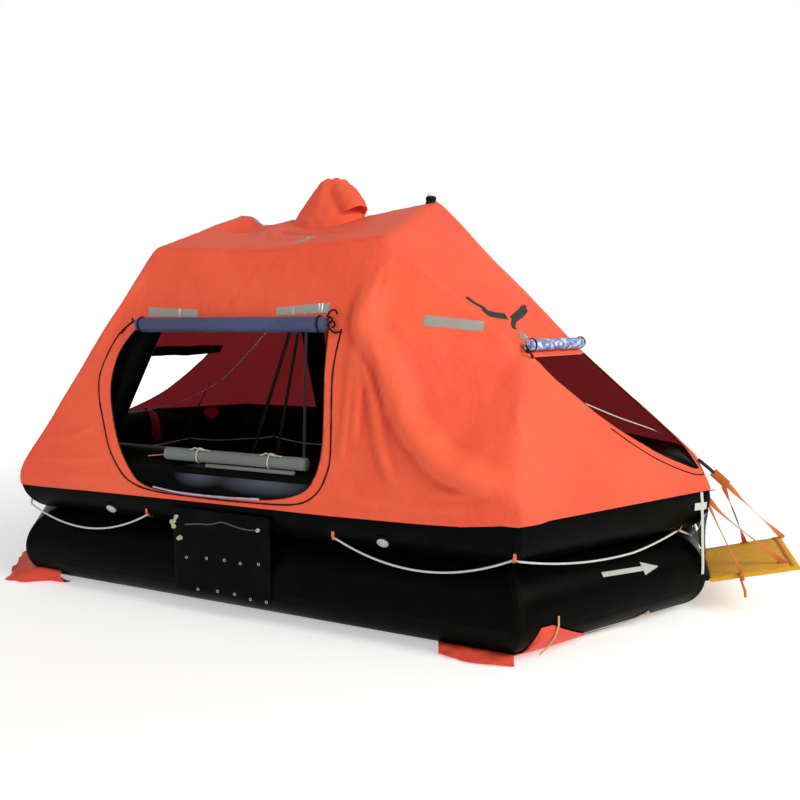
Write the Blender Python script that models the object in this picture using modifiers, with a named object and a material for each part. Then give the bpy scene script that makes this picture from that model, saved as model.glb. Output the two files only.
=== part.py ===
"""Canopied self-righting inflatable liferaft, as separate sub-parts.

Metres, +Z up. The origin is on the floor, in the middle of the whole raft with
its ramp out. X runs along the raft, the front door faces -Y and the boarding
ramp is at +X. The shapes are drawn about the middle of the tubes and moved by
RAMP_SHIFT_X at the end.
"""
from math import atan, ceil, cos, pi, radians, sin, sqrt, tan

import bmesh
import bpy
from mathutils import Vector

# buoyancy tubes: two rings of the same plan, one on the other
TUBE_R = 0.22
TUBE_SIDES = 24
SIDE_X = 1.44           # half the long side, on the tube's centreline
SIDE_Y = 1.032          # half the width, on the centreline
END_X = 2.172           # half the length, on the centreline
END_Y = 0.198           # half the short end side
LOWER_Z = TUBE_R
UPPER_Z = 3 * TUBE_R
TOUCH = 0.0005          # what two pieces that rest on each other keep between them

# canopy, given by its inner surface
SHEET = 0.008           # outer sheet, lining and air gap as one wall
HEM_Z = 0.63
CREASE_X = 0.747        # where the canopy turns over the arches
SHOULDER_Y = 0.888
SHOULDER_Z = 2.061
APEX_Z = 2.392
MID_SHOULDER_Z = 2.015  # the roof sags between the arches
MID_APEX_Z = 2.300
END_TOP = (1.425, 0.655, 1.463)     # upper corner of the end opening
END_RIDGE = (1.625, 0.150, 1.465)   # where the end's ridge meets the opening
DRAWN_IN = [(0.660, 1.600), (0.920, 1.120), (1.150, 0.910)]    # x and z of the crease beside the door
SEAM_X = 0.97           # seams between the middle panels and the end panels
EAVE_Z = 1.90           # seams between the walls and the roof
SEAM_GAP = 0.0004

# arches
ARCH_R = 0.095
ARCH_X = 0.700
ARCH_CLEAR = 0.006
OUTWARD_LEAN = 0.520    # of the front left and back right feet
INWARD_LEAN = 0.140     # of the front right and back left feet

# rolled door curtains
ROLL_R = 0.034
FRONT_ROLL_Z = 1.600
FRONT_ROLL_X = (-0.800, 0.475)

# boarding ramp, its outer end held a little up by its webbing
RAMP_Z = 0.197
RAMP_AXIS_X = END_X + 0.258
RAMP_REACH = 0.435
RAMP_HALF_WIDTH = 0.260
RAMP_THICK = 0.030
RAMP_TILT = radians(16.9)
RAMP_END_X = RAMP_AXIS_X + (RAMP_REACH - RAMP_THICK / 2) * cos(RAMP_TILT) + RAMP_THICK / 2
RAMP_SHIFT_X = (RAMP_END_X - (END_X + TUBE_R + TOUCH + SHEET)) / 2

PARTS = "inflatable_liferaft"
CUTTERS = "cutters"

for old in list(bpy.data.objects):
    bpy.data.objects.remove(old, do_unlink=True)
for name in (PARTS, CUTTERS):
    group = bpy.data.collections.new(name)
    bpy.context.scene.collection.children.link(group)


def finish_material(name, colour, roughness, metallic=0.0):
    material = bpy.data.materials.new(name)
    material.use_nodes = True
    shader = material.node_tree.nodes["Principled BSDF"]
    shader.inputs["Base Color"].default_value = (*colour, 1.0)
    shader.inputs["Roughness"].default_value = roughness
    shader.inputs["Metallic"].default_value = metallic
    return material


TUBE_BLACK = finish_material("tube_rubber", (0.012, 0.014, 0.013), 0.38)
ARCH_BLACK = finish_material("arch_rubber", (0.014, 0.015, 0.017), 0.42)
FLOOR_BLACK = finish_material("floor_rubber", (0.020, 0.021, 0.021), 0.55)
CANOPY_ORANGE = finish_material("canopy_cloth", (0.70, 0.090, 0.045), 0.62)
HOOD_ORANGE = finish_material("hood_cloth", (0.62, 0.075, 0.040), 0.62)
ROLL_BLUE = finish_material("curtain_lining", (0.085, 0.110, 0.300), 0.50)
ROLL_GREY = finish_material("curtain_cloth", (0.160, 0.185, 0.180), 0.60)
BATTEN_GREY = finish_material("batten_plastic", (0.120, 0.125, 0.120), 0.45)
ROPE_WHITE = finish_material("lifeline_rope", (0.560, 0.560, 0.530), 0.80)
POCKET_ORANGE = finish_material("pocket_cloth", (0.720, 0.110, 0.050), 0.60)
RAMP_YELLOW = finish_material("ramp_cloth", (0.580, 0.300, 0.030), 0.55)
FLANGE_BLACK = finish_material("flange_rubber", (0.015, 0.016, 0.016), 0.50)
PANEL_BLACK = finish_material("panel_rubber", (0.013, 0.014, 0.016), 0.50)
VALVE_PALE = finish_material("valve_plastic", (0.420, 0.430, 0.400), 0.45)
LAMP_BLACK = finish_material("lamp_base", (0.010, 0.010, 0.010), 0.50)
LAMP_WHITE = finish_material("lamp_dome", (0.780, 0.780, 0.740), 0.30)


def add_object(name, mesh, material, collection=PARTS):
    thing = bpy.data.objects.new(name, mesh)
    bpy.data.collections[collection].objects.link(thing)
    if material is not None:
        mesh.materials.append(material)
    if collection == CUTTERS:
        thing.hide_render = True
        thing.display_type = "WIRE"
    return thing


def mesh_from(name, work, smooth_angle=None):
    work.normal_update()
    bmesh.ops.recalc_face_normals(work, faces=work.faces[:])
    mesh = bpy.data.meshes.new(name)
    work.to_mesh(mesh)
    work.free()
    if smooth_angle is not None:
        mesh.shade_smooth()
        mesh.set_sharp_from_angle(angle=radians(smooth_angle))
    return mesh


def box_mesh(name, low, high):
    work = bmesh.new()
    bmesh.ops.create_cube(work, size=1.0)
    for vert in work.verts:
        vert.co = Vector([(low[i] + high[i]) / 2 + vert.co[i] * (high[i] - low[i])
                          for i in range(3)])
    return mesh_from(name, work)


def prism_mesh(name, outline, place, low, high):
    """A flat outline pushed out from low to high; place(u, v, w) puts a point in space."""
    work = bmesh.new()
    near = [work.verts.new(place(u, v, low)) for u, v in outline]
    far = [work.verts.new(place(u, v, high)) for u, v in outline]
    work.faces.new(near)
    work.faces.new(far)
    for i in range(len(outline)):
        j = (i + 1) % len(outline)
        work.faces.new((near[i], near[j], far[j], far[i]))
    return mesh_from(name, work)


def cut(target, cutter, operation="DIFFERENCE"):
    step = target.modifiers.new(cutter.name, "BOOLEAN")
    step.operation = operation
    step.object = cutter
    return step


# plan of the raft: corners of the tubes' centreline, from the front left, counterclockwise
PLAN = [(-SIDE_X, -SIDE_Y), (SIDE_X, -SIDE_Y), (END_X, -END_Y), (END_X, END_Y),
        (SIDE_X, SIDE_Y), (-SIDE_X, SIDE_Y), (-END_X, END_Y), (-END_X, -END_Y)]
FRONT_LEFT, FRONT_RIGHT, RIGHT_FRONT, RIGHT_BACK = 0, 1, 2, 3
BACK_RIGHT, BACK_LEFT, LEFT_BACK, LEFT_FRONT = 4, 5, 6, 7


def side_direction(start, end):
    step = Vector(end) - Vector(start)
    return step.normalized()


def outward(direction):
    return Vector((direction.y, -direction.x))


def mitre(before, here, after):
    """How far the corner moves for each metre that its two sides move outward."""
    first = outward(side_direction(before, here)) if before else None
    second = outward(side_direction(here, after)) if after else None
    if first is None or second is None:
        return second if first is None else first
    return (first + second) / (1 + first.dot(second))


def sweep_mesh(name, path, sections, closed, smooth_angle=None):
    """Carry a section of (offset, height) points along a plan path, mitred at each corner.

    sections holds one section for the whole path, or one for each point of it.
    """
    work = bmesh.new()
    rings = []
    count = len(path)
    for i, here in enumerate(path):
        before = path[i - 1] if closed or i > 0 else None
        after = path[(i + 1) % count] if closed or i < count - 1 else None
        side = mitre(before, here, after)
        section = sections[i] if isinstance(sections[0], list) else sections
        rings.append([work.verts.new((here[0] + side.x * n, here[1] + side.y * n, z))
                      for n, z in section])
    for i in range(count if closed else count - 1):
        one, two = rings[i], rings[(i + 1) % count]
        for k in range(len(one)):
            m = (k + 1) % len(one)
            work.faces.new((one[k], one[m], two[m], two[k]))
    if not closed:
        work.faces.new(rings[0])
        work.faces.new(rings[-1])
    return mesh_from(name, work, smooth_angle)


def tube_point(angle, z, radius=TUBE_R):
    """Point of a tube's section: outward offset and height, angle up from outermost."""
    return radius * cos(radians(angle)), z + radius * sin(radians(angle))


def tube_section(z, radius=TUBE_R):
    return [tube_point(360 * k / TUBE_SIDES, z, radius) for k in range(TUBE_SIDES)]


# buoyancy tubes and floor
tube_lower = add_object("tube_lower", sweep_mesh("tube_lower", PLAN, tube_section(LOWER_Z), True, 40),
                        TUBE_BLACK)
tube_upper = add_object("tube_upper", sweep_mesh("tube_upper", PLAN,
                                                 tube_section(UPPER_Z + TOUCH), True, 40), TUBE_BLACK)

# outward offset and height of the floor's edge, from its underside up to its flat top
FLOOR_EDGE = [(-0.191, 0.030), (-0.191, 0.1095), (-0.2225, 0.115)]


def offset_plan(distance):
    corners = []
    for i, here in enumerate(PLAN):
        side = mitre(PLAN[i - 1], here, PLAN[(i + 1) % len(PLAN)])
        corners.append((here[0] + side.x * distance, here[1] + side.y * distance))
    return corners


floor_work = bmesh.new()
floor_rings = [[floor_work.verts.new((x, y, z)) for x, y in offset_plan(distance)]
               for distance, z in FLOOR_EDGE]
for low, high in zip(floor_rings, floor_rings[1:]):
    for i in range(len(PLAN)):
        j = (i + 1) % len(PLAN)
        floor_work.faces.new((low[i], low[j], high[j], high[i]))
floor_work.faces.new(floor_rings[0])
floor_work.faces.new(floor_rings[-1])
add_object("floor", mesh_from("floor", floor_work), FLOOR_BLACK)


# canopy: the front half of the inner surface, and the same turned half round for the back.
# The wall's crease runs straight to the corner on the left, and is drawn in on the right.
HUG = TUBE_R + TOUCH
FRONT_SLOPE = (SIDE_Y + HUG * cos(radians(15)) - SHOULDER_Y) / \
              (SHOULDER_Z - UPPER_Z - HUG * sin(radians(15)))
CHAMFER_SLOPE = 0.60


def straight(angle_from, angle_to, slope):
    """Offset at one height of the tube's section when the wall leaves it lower down."""
    n, z = tube_point(angle_from, UPPER_Z, HUG)
    return n - slope * (tube_point(angle_to, UPPER_Z, HUG)[1] - z)


def hug(angle):
    return tube_point(angle, UPPER_Z, HUG)[0]


# height, then how far the front, chamfer and end walls stand outside the centreline
WALL_ROWS = [
    (HEM_Z, HUG, HUG, HUG),
    (UPPER_Z + TOUCH, HUG, HUG, HUG),
    (tube_point(15, UPPER_Z + TOUCH, HUG)[1], hug(15), hug(15), hug(15)),
    (tube_point(30, UPPER_Z + TOUCH, HUG)[1], straight(15, 30, FRONT_SLOPE), hug(30), hug(30)),
    (tube_point(45, UPPER_Z + TOUCH, HUG)[1], straight(15, 45, FRONT_SLOPE),
     straight(30, 45, CHAMFER_SLOPE), hug(45)),
]
CHAMFER = side_direction(PLAN[FRONT_RIGHT], PLAN[RIGHT_FRONT])
CHAMFER_OUT = outward(CHAMFER)


def wall_row(z, front, chamfer, end):
    """Middle of the front, the two corners and the middle of the end, at one height."""
    y = -(SIDE_Y + front)
    x = END_X + end
    on_chamfer = Vector(PLAN[FRONT_RIGHT]) + CHAMFER_OUT * chamfer
    corner_x = on_chamfer.x + CHAMFER.x * (y - on_chamfer.y) / CHAMFER.y
    corner_y = on_chamfer.y + CHAMFER.y * (x - on_chamfer.x) / CHAMFER.x
    return [Vector((0, y, z)), Vector((corner_x, y, z)), Vector((x, corner_y, z)), Vector((x, 0, z))]


ROWS = [wall_row(*row) for row in WALL_ROWS]
TOP_ROW = ROWS[-1]
SHOULDER = Vector((CREASE_X, -SHOULDER_Y, SHOULDER_Z))
APEX = Vector((CREASE_X, 0, APEX_Z))
MID_APEX = Vector((0, 0, MID_APEX_Z))
MID_SHOULDER = Vector((0, -SHOULDER_Y - FRONT_SLOPE * (SHOULDER_Z - MID_SHOULDER_Z), MID_SHOULDER_Z))
DOOR_CORNER = Vector((END_TOP[0], -END_TOP[1], END_TOP[2]))
RIDGE_SIDE = Vector((END_RIDGE[0], -END_RIDGE[1], END_RIDGE[2]))
RIDGE_MID = Vector((END_RIDGE[0], 0, END_RIDGE[2]))


def on_front(x, z):
    return Vector((x, -SHOULDER_Y - FRONT_SLOPE * (SHOULDER_Z - z), z))


def canopy_surface(closed):
    """The whole inner surface; closed adds a bottom, for a solid form."""
    work = bmesh.new()
    made = {}

    def face(side, *points):
        verts = []
        for x, y, z in points:
            key = (round(side * x, 6), round(y, 6), round(z, 6))
            if key not in made:
                made[key] = work.verts.new((side * x, y, z))
            verts.append(made[key])
        work.faces.new(verts)

    front, corner, end_corner, end = TOP_ROW
    for side in (1, -1):
        for low, high in zip(ROWS, ROWS[1:]):
            for i in range(3):
                face(side, low[i], low[i + 1], high[i + 1], high[i])
        crease = [SHOULDER] + ([on_front(x, z) for x, z in DRAWN_IN] if side == 1 else []) + [corner]
        face(side, MID_SHOULDER, crease[1], SHOULDER)
        for upper, lower in zip(crease[1:], crease[2:]):
            face(side, front, lower, upper)
        for upper, lower in zip(crease, crease[1:]):
            face(side, lower, DOOR_CORNER, upper)
        face(side, front, crease[1], MID_SHOULDER)
        face(side, corner, end_corner, DOOR_CORNER)
        face(side, end_corner, RIDGE_SIDE, DOOR_CORNER)
        face(side, SHOULDER, DOOR_CORNER, RIDGE_SIDE)
        face(side, SHOULDER, RIDGE_SIDE, APEX)
        face(side, end_corner, end, RIDGE_MID, RIDGE_SIDE)
        face(side, RIDGE_SIDE, RIDGE_MID, APEX)
        face(side, MID_SHOULDER, SHOULDER, MID_APEX)
        face(side, SHOULDER, APEX, MID_APEX)
        if closed:
            face(side, (0, 0, HEM_Z), *reversed(ROWS[0]))
    twin = bmesh.ops.duplicate(work, geom=work.verts[:] + work.edges[:] + work.faces[:])
    for item in twin["geom"]:
        if isinstance(item, bmesh.types.BMVert):
            item.co = (-item.co.x, -item.co.y, item.co.z)
    bmesh.ops.remove_doubles(work, verts=work.verts[:], dist=0.0001)
    work.normal_update()
    bmesh.ops.recalc_face_normals(work, faces=work.faces[:])
    crown = min(work.faces, key=lambda f: (f.calc_center_median() - MID_APEX).length)
    if crown.normal.z < 0:
        bmesh.ops.reverse_faces(work, faces=work.faces[:])
    return work


def surface_mesh(name, work):
    mesh = bpy.data.meshes.new(name)
    work.to_mesh(mesh)
    work.free()
    return mesh


def grown_form(name, distance):
    """The canopy as one solid, its walls moved outward."""
    work = canopy_surface(True)
    work.normal_update()
    moves = {vert: vert.normal * vert.calc_shell_factor() * distance
             for vert in work.verts if vert.co.z > HEM_Z + 0.001}
    for vert, move in moves.items():
        vert.co += move
    return add_object(name, surface_mesh(name, work), None, CUTTERS)


# door openings, each a smooth outline through a few points
FRONT_DOOR = [(-0.790, 1.590), (-0.900, 1.440), (-0.925, 1.220), (-0.830, 0.950), (-0.710, 0.790),
              (-0.580, 0.705), (-0.340, 0.680), (0.155, 0.690), (0.390, 0.735), (0.475, 0.820),
              (0.502, 0.985), (0.475, 1.335), (0.470, 1.590)]
# each end opens on one side of its ridge only: the right end's near side, the left end's far side
END_DOOR = [(-0.640, 1.428), (-0.622, 1.311), (-0.538, 1.085), (-0.430, 0.935), (-0.330, 0.850),
            (-0.262, 0.822), (-0.100, 0.850), (0.050, 0.885), (0.100, 0.940), (0.100, 1.428)]
front_cutter = add_object("front_door_cut", prism_mesh("front_door_cut", FRONT_DOOR,
                                                       lambda u, v, w: (u, w, v), -1.60, -0.60),
                          None, CUTTERS)
end_cutters = {}
for side, sign in (("left", -1), ("right", 1)):
    end_cutters[side] = add_object(
        f"end_door_cut_{side}",
        prism_mesh(f"end_door_cut_{side}", END_DOOR, lambda u, v, w: (w, sign * u, v),
                   sign * 1.10, sign * 2.80),
        None, CUTTERS)

# panel, then the lowest and highest corner of the region that its seams bound, then its door
FAR = 3.0
PANELS = [
    ("canopy_front", (-SEAM_X, -FAR, 0), (SEAM_X, 0, EAVE_Z), front_cutter),
    ("canopy_back", (-SEAM_X, 0, 0), (SEAM_X, FAR, EAVE_Z), None),
    ("canopy_roof", (-SEAM_X, -FAR, EAVE_Z + SEAM_GAP), (SEAM_X, FAR, FAR), None),
    ("canopy_end_left", (-FAR, -FAR, 0), (-SEAM_X - SEAM_GAP, FAR, FAR), end_cutters["left"]),
    ("canopy_end_right", (SEAM_X + SEAM_GAP, -FAR, 0), (FAR, FAR, FAR), end_cutters["right"]),
]
for name, low, high, door in PANELS:
    panel = add_object(name, surface_mesh(name, canopy_surface(False)), CANOPY_ORANGE)
    wall = panel.modifiers.new("wall", "SOLIDIFY")
    wall.thickness = SHEET
    wall.offset = 1.0
    wall.use_even_offset = True
    region = add_object(f"{name}_region", box_mesh(f"{name}_region", low, high), None, CUTTERS)
    cut(panel, region, "INTERSECT")
    if door is not None:
        cut(panel, door)


# arches: centreline kept clear of the front wall and the roof, feet sunk to the upper tube
def inside_corner(corner, first, second, distance):
    """Point at one distance inside two lines through a corner, in (y, z)."""
    ends = []
    for direction in (first, second):
        normal = Vector((-direction.y, direction.x)).normalized()
        ends.append(normal)
    one, two = ends
    turn = one.x * two.y - one.y * two.x
    return corner + Vector((distance * (two.y - one.y) / turn, distance * (one.x - two.x) / turn))


WALL_LINE = Vector((FRONT_SLOPE, 1)).normalized()
ROOF_LINE = Vector((SHOULDER_Y, APEX_Z - SHOULDER_Z)).normalized()
ARCH_IN = ARCH_R + ARCH_CLEAR
arch_shoulder = inside_corner(Vector((-SHOULDER_Y, SHOULDER_Z)), WALL_LINE, ROOF_LINE, -ARCH_IN)
ARCH_APEX_Z = APEX_Z - ARCH_IN / ROOF_LINE.x
ARCH_FOOT_Y = -SIDE_Y + 0.030
ARCH_FOOT_Z = UPPER_Z + 0.120
ARCH_SEGMENTS = 16


def arch_mesh(name, x, front_lean, back_lean):
    path = [(ARCH_FOOT_Y, ARCH_FOOT_Z), (arch_shoulder.x, arch_shoulder.y), (0, ARCH_APEX_Z),
            (-arch_shoulder.x, arch_shoulder.y), (-ARCH_FOOT_Y, ARCH_FOOT_Z)]
    section = [(ARCH_R * cos(2 * pi * k / ARCH_SEGMENTS), ARCH_R * sin(2 * pi * k / ARCH_SEGMENTS))
               for k in range(ARCH_SEGMENTS)]
    mesh = sweep_mesh(name, path, section, False, 40)
    for i, vert in enumerate(mesh.vertices):
        y, z, across = vert.co
        lean = (front_lean, 0, 0, 0, back_lean)[i // ARCH_SEGMENTS]
        vert.co = (x + across + lean, y, z)
    work = bmesh.new()
    work.from_mesh(mesh)
    work.normal_update()
    bmesh.ops.recalc_face_normals(work, faces=work.faces[:])
    work.to_mesh(mesh)
    work.free()
    return mesh


foot_cutter = add_object("arch_foot_cut", sweep_mesh("arch_foot_cut", PLAN,
                                                     tube_section(UPPER_Z + TOUCH, TUBE_R + TOUCH), True),
                         None, CUTTERS)
# name, place along the raft, lean of the front foot, lean of the back foot
ARCHES = [("arch_left", -ARCH_X, -OUTWARD_LEAN, INWARD_LEAN),
          ("arch_right", ARCH_X, -INWARD_LEAN, OUTWARD_LEAN)]
for name, x, front_lean, back_lean in ARCHES:
    arch = add_object(name, arch_mesh(name, x, front_lean, back_lean), ARCH_BLACK)
    cut(arch, foot_cutter)


def curve_mesh_object(name, points, radius, material, resolution=3):
    """A round rod, rope or roll along points, made a mesh."""
    curve = bpy.data.curves.new(name, "CURVE")
    curve.dimensions = "3D"
    curve.bevel_depth = radius
    curve.bevel_resolution = resolution
    curve.use_fill_caps = True
    spline = curve.splines.new("POLY")
    spline.points.add(len(points) - 1)
    for knot, point in zip(spline.points, points):
        knot.co = (*point, 1.0)
    guide = bpy.data.objects.new(f"{name}_guide", curve)
    bpy.context.scene.collection.objects.link(guide)
    bpy.context.view_layer.update()
    mesh = bpy.data.meshes.new_from_object(guide.evaluated_get(bpy.context.evaluated_depsgraph_get()))
    bpy.data.objects.remove(guide, do_unlink=True)
    work = bmesh.new()
    work.from_mesh(mesh)
    bmesh.ops.remove_doubles(work, verts=work.verts[:], dist=0.00005)
    bmesh.ops.recalc_face_normals(work, faces=work.faces[:])
    work.to_mesh(mesh)
    work.free()
    mesh.name = name
    mesh.materials.clear()
    mesh.shade_smooth()
    mesh.set_sharp_from_angle(angle=radians(50))
    return add_object(name, mesh, material)


# rolled door curtains, tied up above their openings
ROLL_CLEAR = SHEET + ROLL_R - 0.0007     # its flats, not its corners, face the cloth
wall_normal = Vector((0, -WALL_LINE.y, WALL_LINE.x))
roll_wall_y = -SHOULDER_Y - FRONT_SLOPE * (SHOULDER_Z - FRONT_ROLL_Z)
roll_centre = Vector((0, roll_wall_y, FRONT_ROLL_Z)) + wall_normal * ROLL_CLEAR
ROLL_STEPS = 8
curve_mesh_object("roll_front",
                  [(FRONT_ROLL_X[0] + (FRONT_ROLL_X[1] - FRONT_ROLL_X[0]) * k / ROLL_STEPS,
                    roll_centre.y, roll_centre.z) for k in range(ROLL_STEPS + 1)],
                  ROLL_R, ROLL_BLUE)


def facet_normal(one, two, three):
    normal = (two - one).cross(three - one).normalized()
    return normal if normal.z > 0 else -normal


side_normal = facet_normal(TOP_ROW[2], RIDGE_SIDE, DOOR_CORNER)
end_normal = facet_normal(TOP_ROW[2], TOP_ROW[3], RIDGE_MID)
ridge_normal = (side_normal + end_normal).normalized()
END_ROLL_CLEAR = ROLL_CLEAR + 0.0014


def end_roll_points(sign):
    """From the upper corner of the end opening over the ridge to its inner side."""
    half = [DOOR_CORNER + side_normal * END_ROLL_CLEAR,
            DOOR_CORNER.lerp(RIDGE_SIDE, 0.5) + side_normal * END_ROLL_CLEAR,
            RIDGE_SIDE + ridge_normal * END_ROLL_CLEAR / ridge_normal.dot(end_normal),
            RIDGE_MID + Vector((0, 0.060, 0)) + end_normal * END_ROLL_CLEAR]
    return [(sign * p.x, sign * p.y, p.z) for p in half]


for name, sign in (("roll_end_left", -1), ("roll_end_right", 1)):
    curve_mesh_object(name, end_roll_points(sign), ROLL_R, ROLL_BLUE)

# lookout hood and lamp, seated on the roof's outer face
roof_seat = grown_form("roof_seat", SHEET + 0.0009)
# centre x, y and z of each ring of the hood, then its half length and half width
HOOD_RINGS = [(-0.02, -0.01, 2.200, 0.300, 0.230), (-0.01, -0.01, 2.380, 0.215, 0.170),
              (0.005, -0.01, 2.480, 0.135, 0.115), (0.010, -0.01, 2.570, 0.090, 0.080),
              (0.015, -0.01, 2.598, 0.050, 0.045)]
HOOD_POINTS = 12
hood_work = bmesh.new()
hood_rings = []
for x, y, z, half_length, half_width in HOOD_RINGS:
    hood_rings.append([hood_work.verts.new((x + half_length * cos(2 * pi * k / HOOD_POINTS),
                                            y + half_width * sin(2 * pi * k / HOOD_POINTS), z))
                       for k in range(HOOD_POINTS)])
for low, high in zip(hood_rings, hood_rings[1:]):
    for k in range(HOOD_POINTS):
        m = (k + 1) % HOOD_POINTS
        hood_work.faces.new((low[k], low[m], high[m], high[k]))
hood_work.faces.new(hood_rings[0])
hood_work.faces.new(hood_rings[-1])
hood = add_object("lookout_hood", mesh_from("lookout_hood", hood_work, 50), HOOD_ORANGE)
SLEEVE_FROM = Vector((0.03, -0.02, 2.460))
SLEEVE_TO = Vector((0.225, -0.08, 2.445))
sleeve_work = bmesh.new()
bmesh.ops.create_cone(sleeve_work, cap_ends=True, segments=12, radius1=0.118, radius2=0.075,
                      depth=(SLEEVE_TO - SLEEVE_FROM).length)
turn = (SLEEVE_TO - SLEEVE_FROM).to_track_quat("Z", "Y")
for vert in sleeve_work.verts:
    vert.co = turn @ vert.co + (SLEEVE_FROM + SLEEVE_TO) / 2
sleeve = add_object("hood_sleeve", mesh_from("hood_sleeve", sleeve_work), None, CUTTERS)
cut(hood, sleeve, "UNION")
cut(hood, roof_seat)

LAMP_X = 0.700
LAMP_BASE_R = 0.034
LAMP_BASE_TOP = 2.428
LAMP_DOME_R = 0.024


def lathe(name, profile, centre, material, steps=16):
    """Turn a profile of (radius, height) points, top to bottom, round a vertical axis."""
    work = bmesh.new()
    verts = [work.verts.new((r, 0, z)) for r, z in profile]
    for one, two in zip(verts, verts[1:]):
        work.edges.new((one, two))
    mesh = bpy.data.meshes.new(name)
    work.to_mesh(mesh)
    work.free()
    thing = add_object(name, mesh, material)
    thing.location = centre
    screw = thing.modifiers.new("turned", "SCREW")
    screw.steps = steps
    screw.render_steps = steps
    screw.use_merge_vertices = True
    screw.merge_threshold = 0.0001
    return thing


lamp_base = lathe("light_base", [(0, 0), (LAMP_BASE_R * 0.8, 0), (LAMP_BASE_R, -0.006),
                                 (LAMP_BASE_R, -0.050), (0, -0.050)],
                  (LAMP_X, 0, LAMP_BASE_TOP), LAMP_BLACK)
cut(lamp_base, roof_seat)
dome = [(LAMP_DOME_R * sin(radians(angle)), LAMP_DOME_R * cos(radians(angle)))
        for angle in range(0, 91, 18)]
lathe("light_dome", dome + [(0, 0)], (LAMP_X, 0, LAMP_BASE_TOP + TOUCH), LAMP_WHITE)

# laced panel over the gas bottle, on the front
PANEL_X = (-0.390, 0.230)
PANEL_Z = (0.130, 0.600)
PANEL_THICK = 0.006
add_object("bottle_panel", box_mesh("bottle_panel",
                                    (PANEL_X[0], -(SIDE_Y + TUBE_R + TOUCH + PANEL_THICK), PANEL_Z[0]),
                                    (PANEL_X[1], -(SIDE_Y + TUBE_R + TOUCH), PANEL_Z[1])), PANEL_BLACK)

# inflation valves on the upper tube, square to its lower outer face
VALVE_R = 0.030
VALVE_PROUD = 0.012
VALVE_ANGLE = -37.5
FACET_R = TUBE_R * cos(pi / TUBE_SIDES)
for name, x in (("valve_left", -0.878), ("valve_right", 0.848)):
    valve_work = bmesh.new()
    bmesh.ops.create_cone(valve_work, cap_ends=True, segments=16, radius1=VALVE_R,
                          radius2=VALVE_R * 0.85, depth=VALVE_PROUD)
    away = Vector((0, -cos(radians(VALVE_ANGLE)), sin(radians(VALVE_ANGLE))))
    centre = Vector((x, -SIDE_Y, UPPER_Z + TOUCH)) + away * (FACET_R + TOUCH + VALVE_PROUD / 2)
    turn = away.to_track_quat("Z", "Y")
    for vert in valve_work.verts:
        vert.co = turn @ vert.co + centre
    add_object(name, mesh_from(name, valve_work, 40), VALVE_PALE)

# ballast pockets, lying flat under the tube at each corner
POCKET_R = TUBE_R + TOUCH
UNDER = [tube_point(angle, LOWER_Z, POCKET_R) for angle in (-60, -45)]
TUCKED = [(0.085, 0.0), (0.150, 0.0), (0.190, 0.030), (0.192, 0.085)] + UNDER[::-1] + [(0.085, 0.0130)]
SPREAD = [(0.085, 0.0), (0.350, 0.0), (0.350, 0.022), (0.225, 0.062)] + UNDER[::-1] + [(0.085, 0.0130)]
# name, plan corner, reach along the long side, reach along the chamfer, section on each
POCKETS = [("pocket_front_left", FRONT_LEFT, 0.12, 0.62, TUCKED, SPREAD),
           ("pocket_front_right", FRONT_RIGHT, 0.36, 0.40, TUCKED, TUCKED),
           ("pocket_back_right", BACK_RIGHT, 0.12, 0.62, TUCKED, SPREAD),
           ("pocket_back_left", BACK_LEFT, 0.36, 0.40, TUCKED, TUCKED)]
for name, corner, long_reach, chamfer_reach, long_section, chamfer_section in POCKETS:
    here = Vector(PLAN[corner])
    before, after = Vector(PLAN[corner - 1]), Vector(PLAN[(corner + 1) % len(PLAN)])
    long_first = corner in (FRONT_RIGHT, BACK_LEFT)
    reaches = (long_reach, chamfer_reach) if long_first else (chamfer_reach, long_reach)
    shapes = (long_section, chamfer_section) if long_first else (chamfer_section, long_section)
    path = [here + (before - here).normalized() * reaches[0], here,
            here + (after - here).normalized() * reaches[1]]
    middle = [((a[0] + b[0]) / 2, (a[1] + b[1]) / 2) for a, b in zip(*shapes)]
    add_object(name, sweep_mesh(name, [tuple(p) for p in path], [shapes[0], middle, shapes[1]], False),
               POCKET_ORANGE)

# boarding ramp, hinged on a flange of the lower tube
lower_facet = [Vector(tube_point(angle, LOWER_Z, TUBE_R + 0.0008)) for angle in (-15, 0)]
FLANGE_OUT = RAMP_AXIS_X - END_X - RAMP_THICK / 2 - TOUCH
FLANGE_HALF_WIDTH = 0.240
flange_outline = [tuple(lower_facet[0].lerp(lower_facet[1], 0.30)), (FLANGE_OUT, RAMP_Z - 0.011),
                  (FLANGE_OUT, RAMP_Z + 0.011), tuple(lower_facet[0].lerp(lower_facet[1], 0.95))]
add_object("ramp_flange", prism_mesh("ramp_flange", flange_outline, lambda u, v, w: (END_X + u, w, v),
                                     -FLANGE_HALF_WIDTH, FLANGE_HALF_WIDTH), FLANGE_BLACK)
ROOT_STEPS = 8
half_thick = RAMP_THICK / 2
ramp_outline = [(half_thick * cos(radians(90 + 180 * k / ROOT_STEPS)),
                 half_thick * sin(radians(90 + 180 * k / ROOT_STEPS))) for k in range(ROOT_STEPS + 1)]
ramp_outline += [(RAMP_REACH - half_thick + half_thick * cos(radians(-90 + 180 * k / ROOT_STEPS)),
                  half_thick * sin(radians(-90 + 180 * k / ROOT_STEPS))) for k in range(ROOT_STEPS + 1)]


def on_ramp(u, v, w):
    """Along the ramp from its hinge, square to it and across it, turned up by its tilt."""
    return u * cos(RAMP_TILT) - v * sin(RAMP_TILT), w, u * sin(RAMP_TILT) + v * cos(RAMP_TILT)


ramp = add_object("boarding_ramp", prism_mesh("boarding_ramp", ramp_outline, on_ramp,
                                              -RAMP_HALF_WIDTH, RAMP_HALF_WIDTH), RAMP_YELLOW)
ramp.location = (RAMP_AXIS_X, 0, RAMP_Z)


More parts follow.
